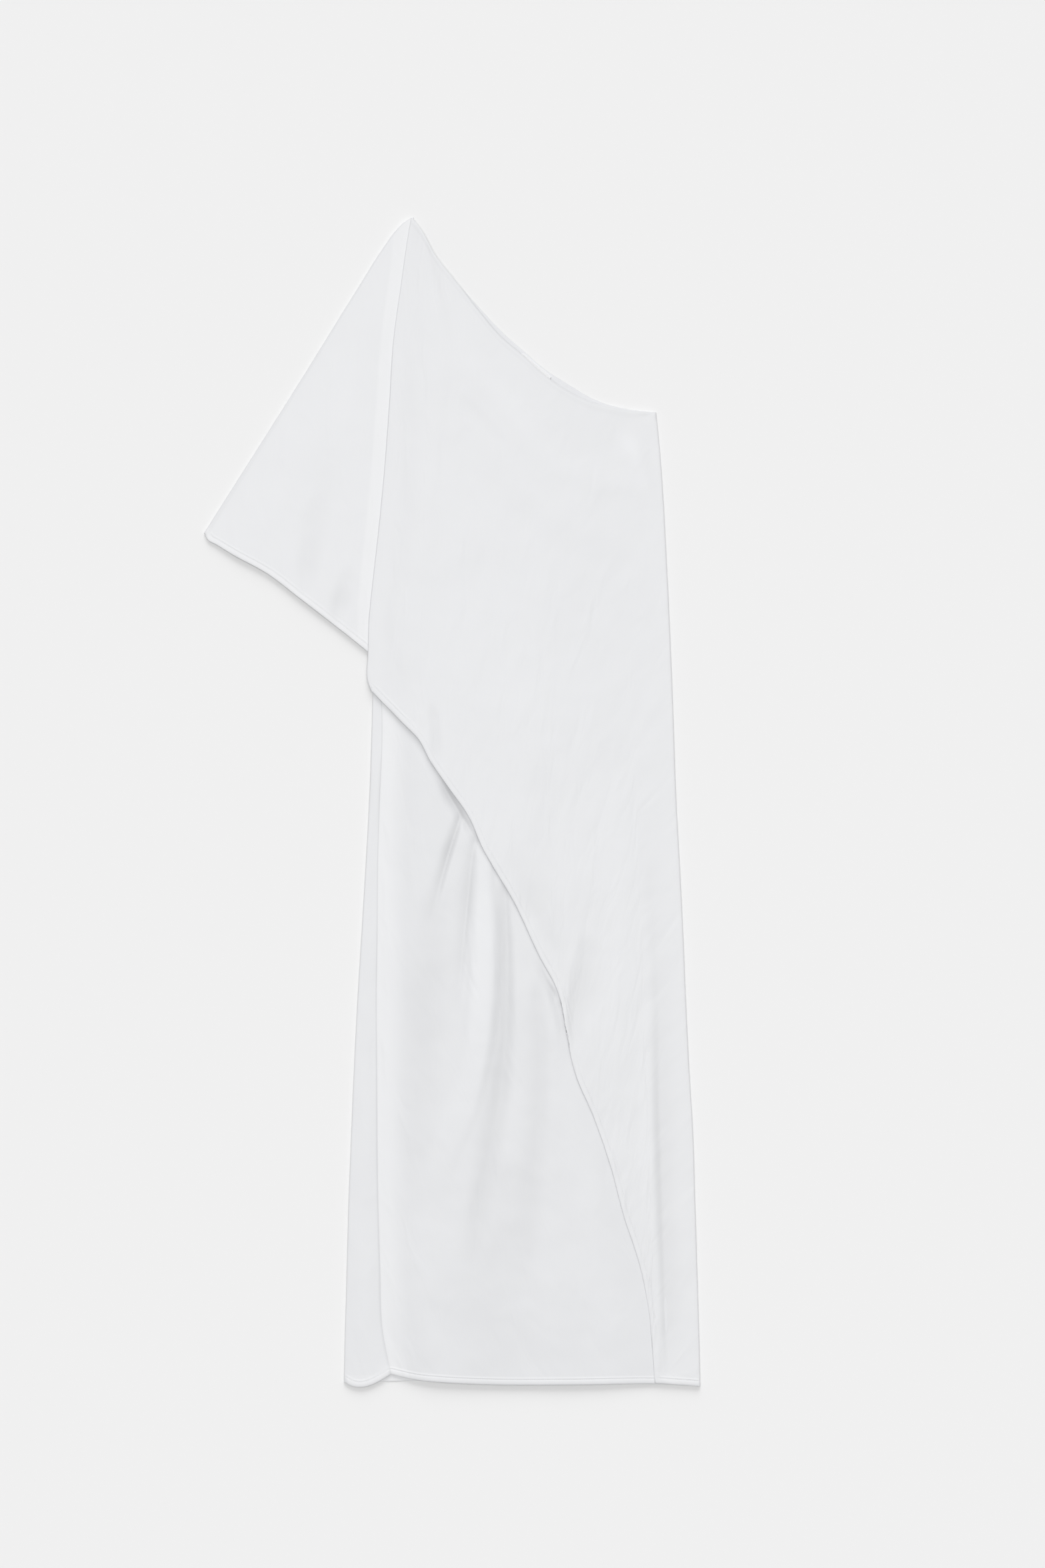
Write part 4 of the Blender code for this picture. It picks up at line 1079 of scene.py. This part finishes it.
def satin_weave():
    """Node group: long floats of satin threads, soft slubs, and slow mottling, as a height and two masks.

    Height = floats (a stretched fine noise) + slubs (a coarser one); Mottle and Threads are 0 to 1.
    """
    float_height = 0.25
    scale = "NodeSocketFloat"
    group, start, end = group_with(
        "satin_weave",
        [("Cloth", "NodeSocketVector", None), ("Thread", scale, 3200.0), ("Slub", scale, 260.0)],
        [("Height", scale), ("Mottle", scale), ("Threads", scale)],
    )
    squeeze = node(group, "VectorMath", {"operation": "MULTIPLY"}, {1: (1.0, 0.16, 1.0)})
    floats = node(group, "TexNoise", Detail=1.0, Roughness=0.5)
    slubs = node(group, "TexNoise", Detail=3.0, Roughness=0.55)
    mottle = node(group, "TexNoise", Scale=16.0, Detail=4.0, Roughness=0.5)
    both = node(group, "Math", {"operation": "MULTIPLY_ADD"}, {1: float_height})
    wire(
        group,
        (start, "Cloth", squeeze, 0), (squeeze, 0, floats, "Vector"), (squeeze, 0, slubs, "Vector"),
        (start, "Thread", floats, "Scale"), (start, "Slub", slubs, "Scale"),
        (floats, "Fac", both, 0), (slubs, "Fac", both, 2), (both, 0, end, "Height"),
        (start, "Cloth", mottle, "Vector"),
        (mottle, "Fac", end, "Mottle"), (floats, "Fac", end, "Threads"),
    )
    return group


def rumple():
    """Node group: small dents and drag lines of worn satin, as the height of a warped and stretched noise."""
    group, start, end = group_with(
        "rumple",
        [("Cloth", "NodeSocketVector", None), ("Stretch", "NodeSocketVector", (1.0, 0.45, 1.0))],
        [("Height", "NodeSocketFloat")],
    )
    stretch = node(group, "VectorMath", {"operation": "MULTIPLY"})
    dents = node(group, "TexNoise", Scale=34.0, Detail=2.0, Roughness=0.45, Distortion=0.6)
    wire(
        group,
        (start, "Cloth", stretch, 0), (start, "Stretch", stretch, 1),
        (stretch, 0, dents, "Vector"), (dents, "Fac", end, "Height"),
    )
    return group


def satin(name, weave, dents):
    """Pale satin: mottled a little, lighter where a second layer backs it and where that mask holds painted
    highlight, with painted highlight on fold crests and painted shade in valleys, and weave and dents as
    bump.
    """
    material, tree, shader = principled(name, Specular_IOR_Level=0.5)
    where = node(tree, "UVMap", {"uv_map": "cloth"})
    woven = node(tree, "Group", {"node_tree": weave})
    worn = node(tree, "Group", {"node_tree": dents})
    # The first mask lightens the colour towards a second layer's, for real second layers and as painted
    # highlight and painted shade on some edges
    layers = node(tree, "Attribute", {"attribute_name": "doubled_and_painted_light"})
    crest = node(tree, "Attribute", {"attribute_name": "crest"})
    shade = mixed(tree, A=opaque(SATIN_COLOUR, 0.985), B=opaque(SATIN_COLOUR, 1.012))
    lift = mixed(tree, B=opaque(DOUBLED_COLOUR))
    # Painted shade and highlight: the colour made darker in fold valleys and lighter on crests by the crest
    # mask
    painted_fold_light = node(tree, "MapRange", From_Min=-1.0, To_Min=1.0 - PAINTED_FOLD_SHADE, To_Max=1.0 + PAINTED_FOLD_SHADE)
    tinted = node(tree, "VectorMath", {"operation": "SCALE"})
    gloss = node(tree, "MapRange", To_Min=SATIN_ROUGHNESS - 0.05, To_Max=SATIN_ROUGHNESS + 0.06)
    fine = node(tree, "Bump", Strength=0.3, Distance=0.00012)
    broad = node(tree, "Bump", Strength=0.5, Distance=0.0012)
    wire(
        tree,
        (where, "UV", woven, "Cloth"), (where, "UV", worn, "Cloth"),
        (woven, "Mottle", shade, "Factor"), (layers, "Fac", lift, "Factor"), (shade, "Result", lift, "A"),
        (crest, "Fac", painted_fold_light, "Value"), (lift, "Result", tinted, 0), (painted_fold_light, "Result", tinted, "Scale"),
        (tinted, "Vector", shader, "Base Color"),
        (woven, "Threads", gloss, "Value"), (gloss, "Result", shader, "Roughness"),
        (woven, "Height", fine, "Height"), (worn, "Height", broad, "Height"),
        (fine, "Normal", broad, "Normal"), (broad, "Normal", shader, "Normal"),
    )
    return material


def woven_label(name):
    """Woven label: close ribs and picks from two wave textures, a little rougher than the satin."""
    material, tree, shader = principled(name, Roughness=0.55)
    where = node(tree, "UVMap", {"uv_map": "cloth"})
    ribs = node(tree, "TexWave", {"bands_direction": "X"}, Scale=620.0, Distortion=0.4)
    picks = node(tree, "TexWave", {"bands_direction": "Y"}, Scale=760.0, Distortion=0.6)
    both = node(tree, "Math", {"operation": "MULTIPLY"})
    between, on_top = LABEL_COLOURS
    shade = mixed(tree, A=opaque(between), B=opaque(on_top))
    bump = node(tree, "Bump", Strength=0.5, Distance=0.00015)
    wire(
        tree,
        (where, "UV", ribs, "Vector"), (where, "UV", picks, "Vector"),
        (ribs, "Fac", both, 0), (picks, "Fac", both, 1),
        (both, 0, shade, "Factor"), (shade, "Result", shader, "Base Color"),
        (both, 0, bump, "Height"), (bump, "Normal", shader, "Normal"),
    )
    return material


def grained(name, colour, tones, texture, **values):
    """A material of two tones of a colour, mixed by a texture in the piece's own coordinates."""
    material, tree, shader = principled(name, **values)
    where = node(tree, "TexCoord")
    darker, lighter = tones
    shade = mixed(tree, A=opaque(colour, darker), B=opaque(colour, lighter))
    kind, settings, scales = texture
    grain = node(tree, kind, settings, **scales)
    wire(
        tree,
        (where, "Object", grain, "Vector"), (grain, "Fac", shade, "Factor"),
        (shade, "Result", shader, "Base Color"),
    )
    return material


def thread(name):
    """Sewing thread: a twist of fine slanted bands."""
    twist = "TexWave", {"bands_direction": "DIAGONAL"}, {"Scale": 1400.0, "Distortion": 0.3}
    return grained(name, THREAD_COLOUR, (0.94, 1.0), twist, Roughness=0.45)


def floor_material():
    """Pale seamless ground with the faintest grain."""
    noise = "TexNoise", {}, {"Scale": 3.0, "Detail": 2.0}
    return grained("pale_ground", FLOOR_COLOUR, (1.0, 1.002), noise, Roughness=0.9, Specular_IOR_Level=0.0)


# Stage, light and camera

FLOOR_REACH = 30000.0  # how far the floor reaches to each side
FLOOR_DROP = -0.4  # its height, so that it stays clear of the dress's underside
AMBIENT = 0.26
# Name, strength, softness in degrees, and the direction from which each soft sun shines
SUNS = (
    ("key", 1.75, 36.0, (0.02, 1.0, 0.52)),
    ("window", 0.15, 90.0, (-1.0, 0.25, 0.9)),
    ("overhead", 1.55, 36.0, (-0.03, 0.06, 1.0)),
)
FRAME_HEIGHT = 1.9530  # metres of floor that the picture shows from its top to its bottom
FRAME_CENTRE = (0.0876, 0.0224)  # the point of the floor at the picture's middle
LENS = 100.0
SENSOR = 36.0


def sun(name, strength, softness, toward):
    """A soft sun whose light comes from the direction toward, and softness is its angle in degrees."""
    data = bpy.data.lights.new(name, "SUN")
    data.energy = strength
    data.angle = np.radians(softness)
    lamp = bpy.data.objects.new(name, data)
    x, y, z = np.array(toward, float) / np.linalg.norm(toward)
    lamp.rotation_euler = (np.arccos(z), 0.0, np.arctan2(x, -y))
    bpy.context.scene.collection.objects.link(lamp)


def make_stage():
    """Large pale floor, a soft low key light from the shoulder side, an overhead light and an even fill."""
    square = np.array([[-1, -1, 0], [1, -1, 0], [1, 1, 0], [-1, 1, 0]])
    corners = FLOOR_REACH * square + np.array([0.0, 0.0, FLOOR_DROP])
    mesh_piece("ground", corners, np.array([[0, 1, 2, 3]]), floor_material())
    for lamp in SUNS:
        sun(*lamp)
    world = bpy.data.worlds.new("studio")
    world.use_nodes = True
    set_inputs(world.node_tree.nodes["Background"], {"Color": (1.0, 1.0, 1.0, 1.0), "Strength": AMBIENT})
    bpy.context.scene.world = world
    bpy.context.scene.view_settings.view_transform = "Standard"


def make_camera():
    """Camera straight above, far enough for a long lens to hold the whole picture's height."""
    data = bpy.data.cameras.new("camera")
    data.lens = LENS
    data.sensor_width = SENSOR
    data.clip_end = 100.0
    camera = bpy.data.objects.new("camera", data)
    camera.location = (*FRAME_CENTRE, FRAME_HEIGHT * LENS / SENSOR)
    bpy.context.scene.collection.objects.link(camera)
    bpy.context.scene.camera = camera


def place(piece, node_name):
    """A finished piece rides on the one body, and may stand for a node, whose imported part it hides."""
    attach(piece, "root")
    if node_name:
        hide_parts(node_name)


def main():
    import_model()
    make_stage()
    make_camera()
    cloth = satin("ivory_satin", satin_weave(), rumple())
    label_finish = woven_label("woven_white")
    sewing = thread("ivory_thread")
    # Node, maker, finish, slot, flat size, area, what it rests on, and its rows of stitches
    pieces = (
        ("back", make_back, cloth, "satin", (0.52, 1.455), 0.527, "floor",
         ("strip_hem_stitches", "back_hem_stitches")),
        ("front", make_front, cloth, "satin", (0.405, 1.453), 0.480, "back", ("front_hem_stitches",)),
        ("drape", make_drape, cloth, "satin", (0.44, 1.455), 0.306, "front", ("drape_hem_stitches",)),
        ("sleeve", make_sleeve, cloth, "satin", (0.582, 0.482), 0.128, "floor",
         ("sleeve_hem_stitches", "sleeve_back_hem_stitches")),
        ("neck_label", make_label, label_finish, "label", (0.046, 0.015), None, "back",
         ("label_stitches_left", "label_stitches_right")),
    )
    made = [make(finish) for _, make, finish, *_ in pieces]
    for (piece, *_), (name, _, _, slot, *_) in zip(made, pieces):
        place(piece, name)
    for (piece, *lines), (_, _, _, slot, flat, area, below, rows) in zip(made, pieces):
        sewn = [stitches(row, line, *STITCH, sewing) for row, line in zip(rows, lines)]
        for row in sewn:
            place(row, None)
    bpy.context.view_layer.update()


main()
